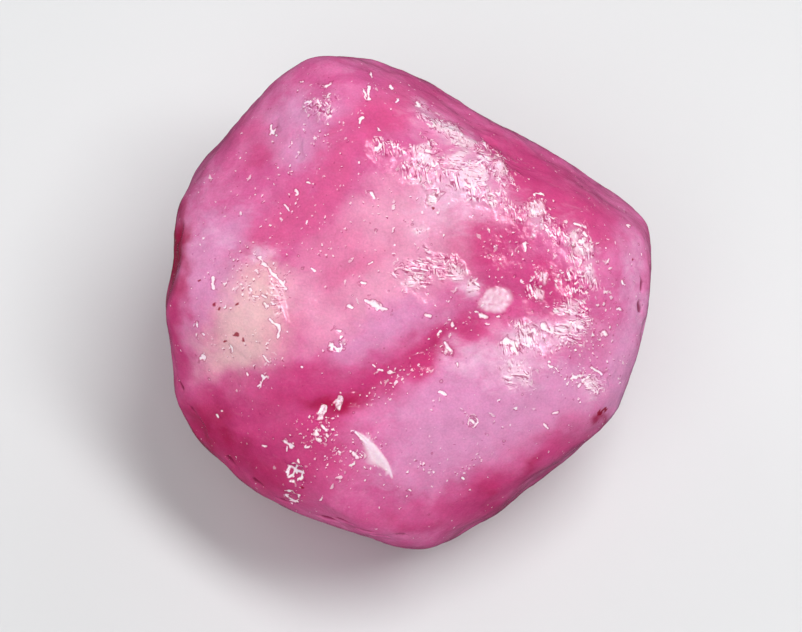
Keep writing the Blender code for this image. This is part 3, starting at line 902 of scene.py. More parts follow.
    # Reach and wavelength in millimetres, and seed.
    drift: tuple = ((0.26, 3.0, 101), (0.16, 1.2, 111), (0.07, 0.5, 121))
    cloud_fall: float = 0.8
    cloud_edge: float = 2.1
    front_from: float = -5.0
    front_fade: float = 2.0
    hidden_edge: float = 0.35
    hidden_share: float = 0.8
    # Tint, wavelength in millimetres, how rare it is, and seed.
    hidden: tuple = (
        (Tint.DEEP_AND_SHADE, 5.5, 0.10, 131),
        (Tint.LILAC_AND_SHEEN, 4.8, 0.25, 132),
        (Tint.CRIMSON_AND_SHADE, 4.0, 0.45, 133),
        (Tint.MILKY_AND_SHEEN, 3.2, 0.60, 134),
    )

    def drifted(self, points: Rows) -> Rows:
        """The places of the broad face, moved by a wandering drift.

        Args:
            points: the skin's points in the stone's own axes.

        Returns:
            The moved places, one row each.
        """
        places = points[:, :2].copy()
        for reach, wavelength, seed in self.drift:
            places += stray(points, reach, wavelength, (seed, seed + 1))
        return places

    def masks(self, points: Rows) -> dict[str, Rows]:
        """One mask for each tint.

        Args:
            points: the skin's points in the stone's own axes.

        Returns:
            The masks, from 0 to 1, under their tints' names.
        """
        places = self.drifted(points)
        front = ease((points[:, 2] - self.front_from) / self.front_fade)
        masks = {}
        clouds = dict(self.clouds)
        for tint in Tint:
            clear = np.ones(len(points))
            for *form, strength in clouds[tint]:
                away = oval(places, *form)
                clear *= 1.0 - strength * np.exp(-self.cloud_fall * away ** self.cloud_edge)
            masks[tint.value] = (1.0 - clear) * front
        for tint, wavelength, floor, seed in self.hidden:
            over = swell(points, wavelength, seed) - floor + self.hidden_edge
            loose = ease(over / (2.0 * self.hidden_edge))
            masks[tint.value] += loose * (1.0 - front) * self.hidden_share
        return masks


@dataclass
class Marking:
    """The frosted breaks with painted glints along the streaks, the pale crescent with its painted sheen,
    and the dark specks of the skin.
    """

    crescent_turns: tuple = (-4.0, 84.0)
    crescent_width: float = 1.30
    crescent_widest: float = 0.68
    crescent_taper: float = 0.8
    crescent_least: float = 0.05
    crescent_body: float = 2.2
    crescent_edges: tuple = (0.08, 0.06, 0.10)
    crescent_waver: tuple = (0.05, 0.9, 97)
    # Grains hold a mean and a waver, edges a reach and a fade, and the ring both its sides and a fade.
    chip_grain: tuple = (0.85, 0.25, 0.2, 64)
    chip_edge: tuple = (0.95, 0.30)
    ring: tuple = (0.66, 1.12, 0.18)
    ring_grain: tuple = (0.95, 0.9, 0.35, 65)
    floor_share: float = 0.45
    floor_edge: float = 0.7
    streak_share: float = 1.1
    spot_waver: tuple = (0.07, 0.5, 62)
    spot_grain: tuple = (0.72, 0.25, 0.22, 66)
    spot_edge: tuple = (0.96, 0.28)
    speck_stray: tuple = (0.03, 0.25, (151, 152))
    speck_edge: tuple = (1.3, 0.5)
    # Number of the chip in the face's list, and strength.
    frosted_chips: tuple = ((0, 0.80), (1, 0.78), (2, 0.5), (8, 0.7), (9, 0.55))
    glazed_chip: int = 3
    ringed_chips: tuple = ((4, 1.0), (5, 0.85), (6, 0.9), (14, 0.85))
    # Middle to the right and up, and radius.
    specks: tuple = (
        (-9.35, 0.75, 0.09), (-8.60, -0.30, 0.11), (-8.40, -0.45, 0.09), (-7.65, -1.60, 0.11),
        (-7.45, -1.85, 0.07), (-8.20, -1.95, 0.07), (-7.60, -0.35, 0.05), (1.05, 3.95, 0.04),
        (8.55, -5.15, 0.14), (8.75, -5.00, 0.09), (-4.80, -8.45, 0.07), (9.95, 1.75, 0.06),
    )

    def frost_and_glint(self, points: Rows, face: FaceRelief, fine: FineSkin, floors: Rows) -> Rows:
        """How white and rough the skin is: frosted chips, rings and pock floors, and painted glints along
        the streaks.

        Args:
            points: places of the rounded body.
            face: the broad face's relief.
            fine: the fine skin.
            floors: the mask of the pocks' floors.

        Returns:
            Values from 0 to 1.
        """
        frost_and_glint = np.zeros(len(points))
        mean, *wave = self.chip_grain
        grain = mean + waver(points, *wave)
        reach, edge = self.chip_edge
        for index, strength in self.frosted_chips:
            away = face.chip_distance(points, face.chips[index])
            frost_and_glint = np.maximum(frost_and_glint, strength * grain * ease((reach - away) / edge))
        mean, *wave = self.ring_grain
        grain = ease(mean + waver(points, *wave))
        inner, outer, edge = self.ring
        for index, strength in self.ringed_chips:
            away = face.chip_distance(points, face.chips[index])
            ring = ease((away - inner) / edge) * ease((outer - away) / edge)
            frost_and_glint = np.maximum(frost_and_glint, strength * ring * grain)
        # The streaks are painted glints: white laid into the colour along them.
        frost_and_glint = np.maximum(frost_and_glint * facing(points), self.streak_share * fine.streak_share(points))
        return np.maximum(frost_and_glint, self.floor_share * ease(floors / self.floor_edge))

    def glaze_and_sheen(self, points: Rows, face: FaceRelief) -> Rows:
        """The smooth pale crescent on the hollow's wall, partly a painted sheen where the wall catches the
        light, and the frosty pale spot of one chip.

        Args:
            points: places of the rounded body.
            face: the broad face's relief.

        Returns:
            Values from 0 to 1.
        """
        inward, turn = face.hollow_inward(points)
        low, high = np.radians(self.crescent_turns)
        along = (high - turn) / (high - low)
        rising = ease(along / self.crescent_widest) ** self.crescent_taper
        width = self.crescent_width * rising * ease((1.0 - along) / (1.0 - self.crescent_widest))
        inner = width + waver(points, *self.crescent_waver)
        inner = ease(1.0 - inward / np.maximum(inner, self.crescent_least))
        crescent = np.minimum(1.0, self.crescent_body * inner)
        for distance, edge in zip((inward, along, width), self.crescent_edges):
            crescent *= ease(distance / edge)
        away = oval(points, *face.chips[self.glazed_chip][:-1]) * (1.0 + waver(points, *self.spot_waver))
        mean, *wave = self.spot_grain
        reach, edge = self.spot_edge
        spot = (mean + waver(points, *wave)) * ease((reach - away) / edge)
        return np.maximum(crescent, spot) * facing(points)

    def speck(self, points: Rows) -> Rows:
        """The dark red specks.

        Args:
            points: places of the rounded body.

        Returns:
            Values from 0 to 1.
        """
        places = points[:, :2] + stray(points, *self.speck_stray)
        reach, edge = self.speck_edge
        amount = np.zeros(len(points))
        for across, up, radius in self.specks:
            away = np.linalg.norm(places - np.array((across, up)), axis=1) / radius
            amount = np.maximum(amount, ease((reach - away) / edge))
        return amount * facing(points)


def linear(red: int, green: int, blue: int) -> tuple[float, float, float, float]:
    """A display colour of 0 to 255 as the linear colour that a shader takes.

    Args:
        red: the red part.
        green: the green part.
        blue: the blue part.

    Returns:
        Four parts from 0 to 1, the last one opaque.
    """
    def channel(value: int) -> float:
        """One channel."""
        share = value / 255.0
        return share / 12.92 if share <= 0.04045 else ((share + 0.055) / 1.055) ** 2.4
    return channel(red), channel(green), channel(blue), 1.0


@dataclass(frozen=True)
class Scar:
    """One kind of flake scar: where it lies, its room and size, and how much of it shows as white, partly
    frost and partly painted glint, and as painted shade below it.
    """

    mark: Mark
    density: float
    room_mm: float
    size_mm: tuple
    spread: float
    white: float
    rim: float
    flat: bool = True
    smallest: float = 0.14
    faintest: float = 0.30
    edge: tuple = (1.25, 0.35)
    shade_edge: tuple = (1.6, 0.7)
    shade_shift_mm: tuple = (-0.02, 0.055)


@dataclass
class NodeBoard:
    """A node tree with short calls for the nodes that a finish is made of."""

    tree: bpy.types.NodeTree

    def add(self, kind: str, **settings: object) -> bpy.types.Node:
        """Add a node of a kind with the given settings.

        Args:
            kind: the node's type.
            **settings: the node's own settings by name.

        Returns:
            The new node.
        """
        node = self.tree.nodes.new(kind)
        for name, value in settings.items():
            setattr(node, name, value)
        return node

    def feed(self, socket: bpy.types.NodeSocket, value: object) -> None:
        """Link an output to a socket, or set the socket to a plain value.

        Args:
            socket: the socket that is fed.
            value: an output, or a plain value.
        """
        if isinstance(value, bpy.types.NodeSocket):
            self.tree.links.new(value, socket)
        else:
            socket.default_value = value

    def math(self, operation: str, first: object, second: object = 0.0, third: object = 0.0,
             clamp: bool = False) -> object:
        """Result of a sum of up to three values.

        Args:
            operation: the kind of sum.
            first: its first value.
            second: its second value.
            third: its third value.
            clamp: whether the result is held between 0 and 1.

        Returns:
            The result's output.
        """
        node = self.add("ShaderNodeMath", operation=operation, use_clamp=clamp)
        for socket, value in zip(node.inputs, (first, second, third)):
            self.feed(socket, value)
        return node.outputs[0]

    def between(self, value: object, low: float, high: float, start: float = 0.0,
                end: float = 1.0) -> object:
        """A value eased from one range into another.

        Args:
            value: the value.
            low: where the first range begins.
            high: where the first range ends.
            start: the result at low and beyond it.
            end: the result at high and beyond it.

        Returns:
            The result's output.
        """
        node = self.add("ShaderNodeMapRange", interpolation_type="SMOOTHSTEP")
        for socket, number in zip(node.inputs[:5], (value, low, high, start, end)):
            self.feed(socket, number)
        return node.outputs[0]

    def mix(self, share: object, first: object, second: object, blend: str = "MIX") -> object:
        """One colour laid over another by a share.

        Args:
            share: how much of the second colour shows.
            first: the colour below.
            second: the colour above.
            blend: how the two are joined.

        Returns:
            The joined colour.
        """
        node = self.add("ShaderNodeMix", data_type="RGBA", blend_type=blend)
        self.feed(node.inputs["Factor"], share)
        # Sockets 6 and 7 take the two colours, and output 2 gives the joined one.
        self.feed(node.inputs[6], first)
        self.feed(node.inputs[7], second)
        return node.outputs[2]

    def mask(self, name: str) -> object:
        """A mask of the skin."""
        return self.add("ShaderNodeAttribute", attribute_name=name).outputs["Fac"]

    def place(self) -> object:
        """The place on the object in metres."""
        return self.add("ShaderNodeTexCoord").outputs["Object"]

    def noise(self, place: object, grain_mm: float, detail: float = 4.0, rough: float = 0.5,
              warp: float = 0.0) -> object:
        """Noise from 0 to 1 whose grain is given in millimetres.

        Args:
            place: the place in metres.
            grain_mm: the size of the grain.
            detail: how many finer layers are added.
            rough: how strong the finer layers are.
            warp: how far the place is bent before.

        Returns:
            The noise's output.
        """
        node = self.add("ShaderNodeTexNoise")
        self.feed(node.inputs["Vector"], place)
        node.inputs["Scale"].default_value = 1.0 / (grain_mm * MM)
        node.inputs["Detail"].default_value = detail
        node.inputs["Roughness"].default_value = rough
        node.inputs["Distortion"].default_value = warp
        return node.outputs["Fac"]

    def stretched(self, place: object, turn: tuple, stretch: tuple) -> object:
        """The place, turned and stretched.

        Args:
            place: the place in metres.
            turn: the turn round the three axes in radians.
            stretch: the scale along the three axes.

        Returns:
            The new place.
        """
        node = self.add("ShaderNodeMapping")
        self.feed(node.inputs["Vector"], place)
        node.inputs["Rotation"].default_value = turn
        node.inputs["Scale"].default_value = stretch
        return node.outputs["Vector"]

    def vector(self, operation: str, first: object, second: object) -> bpy.types.Node:
        """Node that works on two vectors.

        Args:
            operation: what the node does.
            first: the first vector.
            second: the second vector.

        Returns:
            The node.
        """
        node = self.add("ShaderNodeVectorMath", operation=operation)
        self.feed(node.inputs[0], first)
        self.feed(node.inputs[1], second)
        return node

    def cell(self, place: object, room_mm: float, flat: bool) -> tuple:
        """The room that a place lies in.

        Args:
            place: the place in the stone's own axes, in metres.
            room_mm: the size of one room.
            flat: whether the rooms lie side by side in the plane of the broad face.

        Returns:
            The way from the room's middle, and three random numbers of the room.
        """
        room = self.add("ShaderNodeTexVoronoi", voronoi_dimensions="2D" if flat else "3D")
        if flat:
            place = self.vector("MULTIPLY", place, (1.0, 1.0, 0.0)).outputs["Vector"]
        self.feed(room.inputs["Vector"], place)
        room.inputs["Scale"].default_value = 1.0 / (room_mm * MM)
        dice = self.add("ShaderNodeSeparateColor")
        self.feed(dice.inputs[0], room.outputs["Color"])
        apart = self.vector("SUBTRACT", place, room.outputs["Position"]).outputs["Vector"]
        return apart, dice.outputs[0], dice.outputs[1], dice.outputs[2]

    def lean(self, apart: object, first: object, second: object) -> object:
        """Height in millimetres of a plane through a room's middle, leaning by two random numbers.

        Args:
            apart: the way from the room's middle.
            first: the lean to the right.
            second: the lean up the face.

        Returns:
            The height.
        """
        way = self.add("ShaderNodeCombineXYZ")
        for socket, number in zip(way.inputs[:2], (first, second)):
            self.feed(socket, self.math("MULTIPLY", self.math("SUBTRACT", number, 0.5), 2.0 / MM))
        return self.vector("DOT_PRODUCT", apart, way.outputs[0]).outputs["Value"]

    def reach(self, apart: object, way: object, size_mm: tuple) -> object:
        """Squared distance from an oval's middle in its own half sizes.

        Args:
            apart: the way from the oval's middle.
            way: the direction of its length.
            size_mm: half its length and half its width.

        Returns:
            The squared distance, 1 on the oval's edge.
        """
        along = self.vector("DOT_PRODUCT", apart, way).outputs["Value"]
        along = self.math("MULTIPLY", along, along)
        whole = self.vector("DOT_PRODUCT", apart, apart).outputs["Value"]
        length, width = ((size * MM) ** -2 for size in size_mm)
        beside = self.math("MULTIPLY", self.math("SUBTRACT", whole, along), width)
        return self.math("MULTIPLY_ADD", along, length, beside)

    def strokes(self, place: object, scar: Scar, lay: object, density: object) -> tuple:
        """Scattered flake scars of one kind.

        Args:
            place: the place in the stone's own axes, in metres.
            scar: the kind of scar.
            lay: the scars' mean bearing, in turns.
            density: the share of rooms that hold a scar.

        Returns:
            A mask of the scars, which are painted white as part frost and part glint, a mask of the painted
            shade under them, and the height of their leaning floors.
        """
        apart, first, second, third = self.cell(place, scar.room_mm, scar.flat)
        stray = self.math("MULTIPLY", self.math("SUBTRACT", first, 0.5), 2.0 * scar.spread)
        turn = self.math("MULTIPLY", self.math("ADD", lay, stray), 2.0 * math.pi)
        way = self.add("ShaderNodeCombineXYZ")
        self.feed(way.inputs[0], self.math("COSINE", turn))
        self.feed(way.inputs[1], self.math("SINE", turn))
        scale = self.between(second, 0.0, 1.0, scar.smallest, 1.0)
        share = self.math("DIVIDE", self.reach(apart, way.outputs[0], scar.size_mm), scale)
        shift = (*(part * MM for part in scar.shade_shift_mm), 0.0)
        lower = self.vector("ADD", apart, shift).outputs["Vector"]
        shade = self.math("DIVIDE", self.reach(lower, way.outputs[0], scar.size_mm), scale)
        there = self.math("GREATER_THAN", density, third)
        there = self.math("MULTIPLY", there, self.between(third, 0.0, density, 1.0, scar.faintest))
        inside = self.math("MULTIPLY", self.between(share, *scar.edge), there)
        shade = self.math("MULTIPLY", self.between(shade, *scar.shade_edge), there)
        return inside, shade, self.math("MULTIPLY", inside, self.lean(apart, first, second))

    def most(self, *values: object) -> object:
        """The greatest of some values.

        Args:
            *values: outputs or plain values.

        Returns:
            The greatest of them.
        """
        result = values[0]
        for value in values[1:]:
            result = self.math("MAXIMUM", result, value)
        return result

    def bump(self, *heights: tuple) -> object:
        """A normal from heights, each with the depth in millimetres that a height of 1 stands for.

        Args:
            *heights: pairs of a height and its depth.

        Returns:
            The normal.
        """
        total = 0.0
        for height, depth_mm in heights:
            total = self.math("MULTIPLY_ADD", height, depth_mm, total)
        node = self.add("ShaderNodeBump")
        self.feed(node.inputs["Height"], total)
        node.inputs["Distance"].default_value = MM
        return node.outputs["Normal"]


@dataclass(frozen=True)
class Mottle:
    """A shader group of soft uneven tone, used by the stone and by the floor."""

    name: str = "mottle"
    broad_detail: float = 5.0
    fine_detail: float = 3.0
    fine_ratio: float = 7.3
    usual_amount: float = 0.2

    def build(self) -> bpy.types.NodeTree:
        """Make the group, or give back the one that is there.

        Returns:
            The node group, with inputs Grain and Amount and the outputs Tone and Fine.
        """
        group = bpy.data.node_groups.get(self.name)
        if group:
            return group
        group = bpy.data.node_groups.new(self.name, "ShaderNodeTree")
        face = group.interface
        grain = face.new_socket("Grain", in_out="INPUT", socket_type="NodeSocketFloat")
        grain.default_value = 1.0 / MM
        amount = face.new_socket("Amount", in_out="INPUT", socket_type="NodeSocketFloat")
        amount.default_value = self.usual_amount
        face.new_socket("Tone", in_out="OUTPUT", socket_type="NodeSocketFloat")
        face.new_socket("Fine", in_out="OUTPUT", socket_type="NodeSocketFloat")
        board = NodeBoard(group)
        entry = board.add("NodeGroupInput")
        leave = board.add("NodeGroupOutput")
        place = board.place()
        broad = board.add("ShaderNodeTexNoise")
        board.feed(broad.inputs["Vector"], place)
        board.feed(broad.inputs["Scale"], entry.outputs["Grain"])
        broad.inputs["Detail"].default_value = self.broad_detail
        fine = board.add("ShaderNodeTexNoise")
        board.feed(fine.inputs["Vector"], place)
        board.feed(fine.inputs["Scale"], board.math("MULTIPLY", entry.outputs["Grain"], self.fine_ratio))
        fine.inputs["Detail"].default_value = self.fine_detail
        centred = board.math("SUBTRACT", broad.outputs["Fac"], 0.5)
        tone = board.math("MULTIPLY", centred, entry.outputs["Amount"])
        board.feed(leave.inputs["Tone"], board.math("ADD", tone, 1.0))
        board.feed(leave.inputs["Fine"], fine.outputs["Fac"])
        return group

    def put(self, board: NodeBoard, grain_mm: float, amount: float) -> bpy.types.Node:
        """Place the group in a material with its own grain and amount.

        Args:
            board: the material's nodes.
            grain_mm: the size of the uneven spots.
            amount: how strong they are.

        Returns:
            The group's node.
        """
        node = board.add("ShaderNodeGroup")
        node.node_tree = self.build()
        node.inputs["Grain"].default_value = 1.0 / (grain_mm * MM)
        node.inputs["Amount"].default_value = amount
        return node


@dataclass(frozen=True)
class PaintedCrackleLight:
    """Painted light of the crumpled places: bright flakes and dark lines painted into the colour as if the
    foil-like skin were lit from the upper right.
    """

    # Folds and patches hold what noise takes, and edges and slopes what between takes.
    steep: tuple = (1.0, 0.42, 0.8)
    level: tuple = (0.42, 1.0, 0.8)
    steep_lay: float = 0.17
    light_shift_mm: tuple = (0.022, 0.030)
    folds: tuple = (0.235, 2.0, 0.6, 0.9)
    patches: tuple = (0.45, 2.0)
    patch_height: float = 0.8
    patch_edge: tuple = (0.15, 0.65)
    # How the painted sheen patches are shaped and how much painted highlight they give.
    sheen_contrast: float = 2.0
    sheen_edge: tuple = (0.0, 1.1)
    sheen_share: float = 0.58
    # Slopes that face the upper right are painted as highlight, and those that face away as painted shade.
    bright_slope: tuple = (0.015, 0.10)
    dark_slope: tuple = (-0.025, -0.09)

    def build(self, board: NodeBoard, place: object) -> tuple:
        """Make the nodes of the effect in a material.

        Args:
            board: the material's nodes.
            place: the place in the stone's own axes.

        Returns:
            A mask of painted highlights on the flakes and the sheen patches, a mask of painted shade lines
            round the flakes, and the flakes' height.
        """
        upright = board.math("GREATER_THAN", board.mask(Mark.LAY.value), self.steep_lay)
        steep = board.stretched(place, (0.0, 0.0, 0.0), self.steep)
        level = board.stretched(place, (0.0, 0.0, 0.0), self.level)
        drawn = board.mix(upright, level, steep)
        shift = (*(part * MM for part in self.light_shift_mm), 0.0)
        nearer = board.vector("ADD", drawn, shift).outputs["Vector"]
        fine, next_fine = (board.noise(spot, *self.folds) for spot in (drawn, nearer))
        slope = board.math("SUBTRACT", fine, next_fine)
        broad = board.math("SUBTRACT", board.noise(place, *self.patches), 0.5)
        # Painted sheen: pale patches laid into the colour where broad highlights fall.
        mask = board.mask(Mark.GLOW.value)
        swing = board.math("MULTIPLY", mask, self.sheen_contrast)
        sheen = board.between(board.math("MULTIPLY_ADD", broad, swing, mask), *self.sheen_edge)
        here = board.most(sheen, board.mask(Mark.CRUMPLE.value))
        reach = board.between(board.math("MULTIPLY_ADD", broad, self.patch_height, here), *self.patch_edge)
        painted_highlights = board.math("MULTIPLY", board.between(slope, *self.bright_slope), reach)
        painted_highlights = board.most(painted_highlights, board.math("MULTIPLY", sheen, self.sheen_share))
        painted_shade_lines = board.math("MULTIPLY", board.between(slope, *self.dark_slope), reach)
        return painted_highlights, painted_shade_lines, board.math("MULTIPLY", fine, here)


@dataclass(frozen=True)
class RubyFinish:
    """The glossy, clouded, slightly translucent pink of the stone, with painted highlights and painted shade
    in its colour.
    """

    name: str = "ruby_skin"
    rose: tuple = linear(202, 88, 144)
    rose_pale: tuple = linear(212, 112, 162)
    # Deep magenta, partly painted shade where slopes turn from the light.
    deep_and_shade: tuple = linear(192, 58, 118)
    warm: tuple = linear(208, 90, 142)
    # Dark crimson, partly painted shade of the sides away from the light.
    crimson_and_shade: tuple = linear(158, 14, 66)
    # Pale lilac, partly a painted reflection.
    lilac_and_sheen: tuple = linear(212, 142, 184)
    # Milky pink, partly painted sheen in the highlight places.
    milky_and_sheen: tuple = linear(226, 180, 206)
    salmon: tuple = linear(222, 152, 182)
    beige: tuple = linear(225, 181, 186)
    # White of frosted breaks, also laid as painted glints and painted highlights.
    frost_and_glint: tuple = linear(250, 232, 240)
    # Pale of the crescent, partly a painted sheen on the hollow's wall.
    glaze_and_sheen: tuple = linear(246, 224, 236)
    # Dark magenta of painted shade: under the scars, round the frosted marks and along the crackle lines.
    rim: tuple = linear(156, 24, 90)
    # Dark colour of painted shade inside the narrow slits.
    slit_shade: tuple = linear(128, 8, 62)
    speck: tuple = linear(146, 6, 42)
    # From the lowest up: tint, colour, whether wisps or else the veil fray its edge, and how far.
    layers: tuple = (
        (Tint.SALMON, salmon, False, 0.5),
        (Tint.BEIGE, beige, True, 0.5),
        (Tint.LILAC_AND_SHEEN, lilac_and_sheen, True, 0.7),
        (Tint.WARM, warm, False, 0.6),
        (Tint.DEEP_AND_SHADE, deep_and_shade, True, 0.5),
        (Tint.MILKY_AND_SHEEN, milky_and_sheen, True, 0.9),
        (Tint.CRIMSON_AND_SHADE, crimson_and_shade, False, 0.6),
    )
    scatter_weight: float = 0.5
    scatter_scale_mm: float = 0.6
    scatter_radius: tuple = (1.0, 0.35, 0.6)
    refraction: float = 1.76
    gleam: float = 0.34
    gleam_tint: tuple = (1.0, 0.70, 0.80, 1.0)
    # Spots, veil, wisps and grain hold what noise takes, and edges and ranges what between takes.
    veil: tuple = (1.5, 4.0, 0.6, 0.4)
    wisps: tuple = (0.8, 4.0, 0.65, 0.8)
    wisp_turn: tuple = (0.0, 0.0, 0.9)
    wisp_stretch: tuple = (1.0, 2.0, 1.4)
    rose_edge: tuple = (0.36, 0.66)
    cloud_edge: tuple = (0.02, 0.98)
    mottle: tuple = (0.7, 0.36)
    fine_mottle: float = 0.34
    ragged_mm: float = 0.17
    ragged_detail: float = 3.0
    ragged_reach_mm: float = 0.26
    few_spots: tuple = (1.8, 2.0)
    few_range: tuple = (0.40, 0.70, 0.06, 0.34)
    scar_kinds: tuple = (
        Scar(Mark.FLECKS, 0.42, 0.46, (0.17, 0.060), 0.14, 0.95, 0.7),
        Scar(Mark.FLECKS, 0.50, 0.24, (0.080, 0.042), 0.25, 0.85, 0.6, flat=False),
        Scar(Mark.CRUMPLE, 0.40, 0.34, (0.22, 0.050), 0.16, 0.90, 0.8),
        Scar(Mark.DOTS, 1.0, 0.19, (0.055, 0.042), 0.5, 0.95, 0.9),
        # The blown spots are painted highlights on the bubbled domes.
        Scar(Mark.BUBBLE, 0.42, 0.26, (0.11, 0.085), 0.5, 0.85, 0.8),
    )
    grain: tuple = (0.13, 3.0, 0.6)
    frost_grain_range: tuple = (0.38, 0.62, 0.72, 1.0)
    frost_edge: tuple = (0.22, 0.72)
    frost_rim_range: tuple = (0.02, 0.14, 0.0, 0.55)
    frost_rough: float = 0.20
    highlight_white: float = 0.95
    shade_rim_share: float = 0.88
    shade_line_share: float = 0.74
    glaze_grain_range: tuple = (0.3, 0.7, 0.80, 0.95)
    speck_edge: tuple = (0.3, 0.7, 0.0, 0.9)
    slit_edge: tuple = (0.30, 0.90, 0.0, 0.85)
    gloss_spots: tuple = (0.6, 3.0, 0.6)
    gloss_range: tuple = (0.3, 0.72, 0.08, 0.22)
    skin_waves: tuple = (((0.75, 3.0, 0.55), 0.030), ((0.26, 3.0, 0.6, 0.5), 0.018))
    scar_lean_mm: float = 0.45
    fold_height_mm: float = 0.07
    blown_height_mm: float = 0.03
    shade_height_mm: float = 0.006
    grain_height_mm: float = 0.004

    def clouded(self, board: NodeBoard, place: object) -> object:
        """The clouded colour under the marks.

        Args:
            board: the material's nodes.
            place: the place in the stone's own axes.

        Returns:
            The colour.
        """
        veil = board.noise(place, *self.veil)
        drawn = board.stretched(place, self.wisp_turn, self.wisp_stretch)
        wisps = board.noise(drawn, *self.wisps)
        colour = board.mix(board.between(veil, *self.rose_edge), self.rose, self.rose_pale)
        for tint, shade, wispy, raggedness in self.layers:
            ragged = wisps if wispy else veil
            shift = board.math("MULTIPLY", board.math("SUBTRACT", ragged, 0.5), raggedness)
            share = board.between(board.math("ADD", board.mask(tint.value), shift), *self.cloud_edge)
            colour = board.mix(share, colour, shade)
        tone = board.add("ShaderNodeCombineColor")
        mottle = Mottle().put(board, *self.mottle)
        fine = board.math("SUBTRACT", mottle.outputs["Fine"], 0.5)
        fine = board.math("MULTIPLY_ADD", fine, self.fine_mottle, mottle.outputs["Tone"])
        for socket in tone.inputs:
            board.feed(socket, fine)
        return board.mix(1.0, colour, tone.outputs[0], "MULTIPLY")

    def scars(self, board: NodeBoard, place: object) -> tuple:
        """The flake scars, the shards of the crumpled places, the tiny dots and the blown spots, painted as
        white glints with painted shade below them.

        Args:
            board: the material's nodes.
            place: the place in the stone's own axes.

        Returns:
            For each of the five, the mask of the scars, the mask of the painted shade rims under them, and
            their height.
        """
        ragged = board.add("ShaderNodeTexNoise")
        board.feed(ragged.inputs["Vector"], place)
        ragged.inputs["Scale"].default_value = 1.0 / (self.ragged_mm * MM)
        ragged.inputs["Detail"].default_value = self.ragged_detail
        shift = board.vector("SUBTRACT", ragged.outputs["Color"], (0.5, 0.5, 0.5)).outputs["Vector"]
        moved = board.vector("MULTIPLY", shift, (self.ragged_reach_mm * MM,) * 3).outputs["Vector"]
        place = board.vector("ADD", place, moved).outputs["Vector"]
        few = board.between(board.noise(place, *self.few_spots), *self.few_range)
        lay = board.mask(Mark.LAY.value)
        scars = []
        for scar in self.scar_kinds:
            more = 0.0 if scar.flat else few
            density = board.math("MULTIPLY_ADD", board.mask(scar.mark.value), scar.density, more)
            scars.append(board.strokes(place, scar, lay, density))
        return tuple(scars)

    def build(self) -> bpy.types.Material:
        """Make the material.

        Returns:
            The finished material.
        """
        material = bpy.data.materials.new(self.name)
        material.use_nodes = True
        board = NodeBoard(material.node_tree)
        shader = material.node_tree.nodes["Principled BSDF"]
        place = board.stretched(board.place(), (-LEAN, 0.0, 0.0), (1.0, 1.0, 1.0))
        scars = self.scars(board, place)
        large, small, shards, _, blown = scars
        painted_highlights, painted_shade_lines, folded = PaintedCrackleLight().build(board, place)
        grain = board.noise(place, *self.grain)
        # Frost and painted glints: white of the frosted breaks and of the streaks.
        mask = board.mask(Mark.FROST_AND_GLINT.value)
        frost_and_glint_share = board.math("MULTIPLY", mask, board.between(grain, *self.frost_grain_range))
        frost_and_glint_share = board.between(frost_and_glint_share, *self.frost_edge)
        edge = board.math("SUBTRACT", board.between(mask, *self.frost_rim_range), frost_and_glint_share, clamp=True)
        pairs = tuple(zip(self.scar_kinds, scars))
        whites = [board.math("MULTIPLY", scar[0], kind.white) for kind, scar in pairs]
        white = board.most(frost_and_glint_share, *whites, board.math("MULTIPLY", painted_highlights, self.highlight_white))
        # Painted shade: dark rims under each scar and round the frosted marks.
        shade_rims = board.most(edge, *(board.math("MULTIPLY", scar[1], kind.rim) for kind, scar in pairs))
        shade_rims = board.math("MULTIPLY", shade_rims, self.shade_rim_share)
        colour = board.mix(shade_rims, self.clouded(board, place), self.rim)
        # The crescent: pale colour that is partly a painted sheen on the hollow's wall.
        glaze_and_sheen_share = board.between(grain, *self.glaze_grain_range)
        glaze_and_sheen_share = board.math("MULTIPLY", board.mask(Mark.GLAZE_AND_SHEEN.value), glaze_and_sheen_share)
        colour = board.mix(glaze_and_sheen_share, colour, self.glaze_and_sheen)
        colour = board.mix(white, colour, self.frost_and_glint)
        # Painted shade lines of the crumpled places.
        colour = board.mix(board.math("MULTIPLY", painted_shade_lines, self.shade_line_share), colour, self.rim)
        # Painted shade in the slits.
        colour = board.mix(board.between(board.mask(Mark.SLIT.value), *self.slit_edge), colour, self.slit_shade)
        colour = board.mix(board.between(board.mask(Mark.SPECK.value), *self.speck_edge), colour, self.speck)
        board.feed(shader.inputs["Base Color"], colour)
        gloss = board.between(board.noise(place, *self.gloss_spots), *self.gloss_range)
        board.feed(shader.inputs["Roughness"], board.math("MULTIPLY_ADD", frost_and_glint_share, self.frost_rough, gloss))
        normal = board.bump(
            *((board.noise(place, *wave), height) for wave, height in self.skin_waves),
            *((scar[2], self.scar_lean_mm) for scar in (large, small, shards)),
            (folded, self.fold_height_mm),
            (blown[0], self.blown_height_mm),
            (large[1], self.shade_height_mm),
            (grain, self.grain_height_mm),
        )
        board.feed(shader.inputs["Normal"], normal)
        shader.inputs["IOR"].default_value = self.refraction
        shader.inputs["Specular IOR Level"].default_value = self.gleam
        shader.inputs["Specular Tint"].default_value = self.gleam_tint
        shader.inputs["Subsurface Weight"].default_value = self.scatter_weight
        shader.inputs["Subsurface Scale"].default_value = self.scatter_scale_mm * MM
        shader.inputs["Subsurface Radius"].default_value = self.scatter_radius
        return material


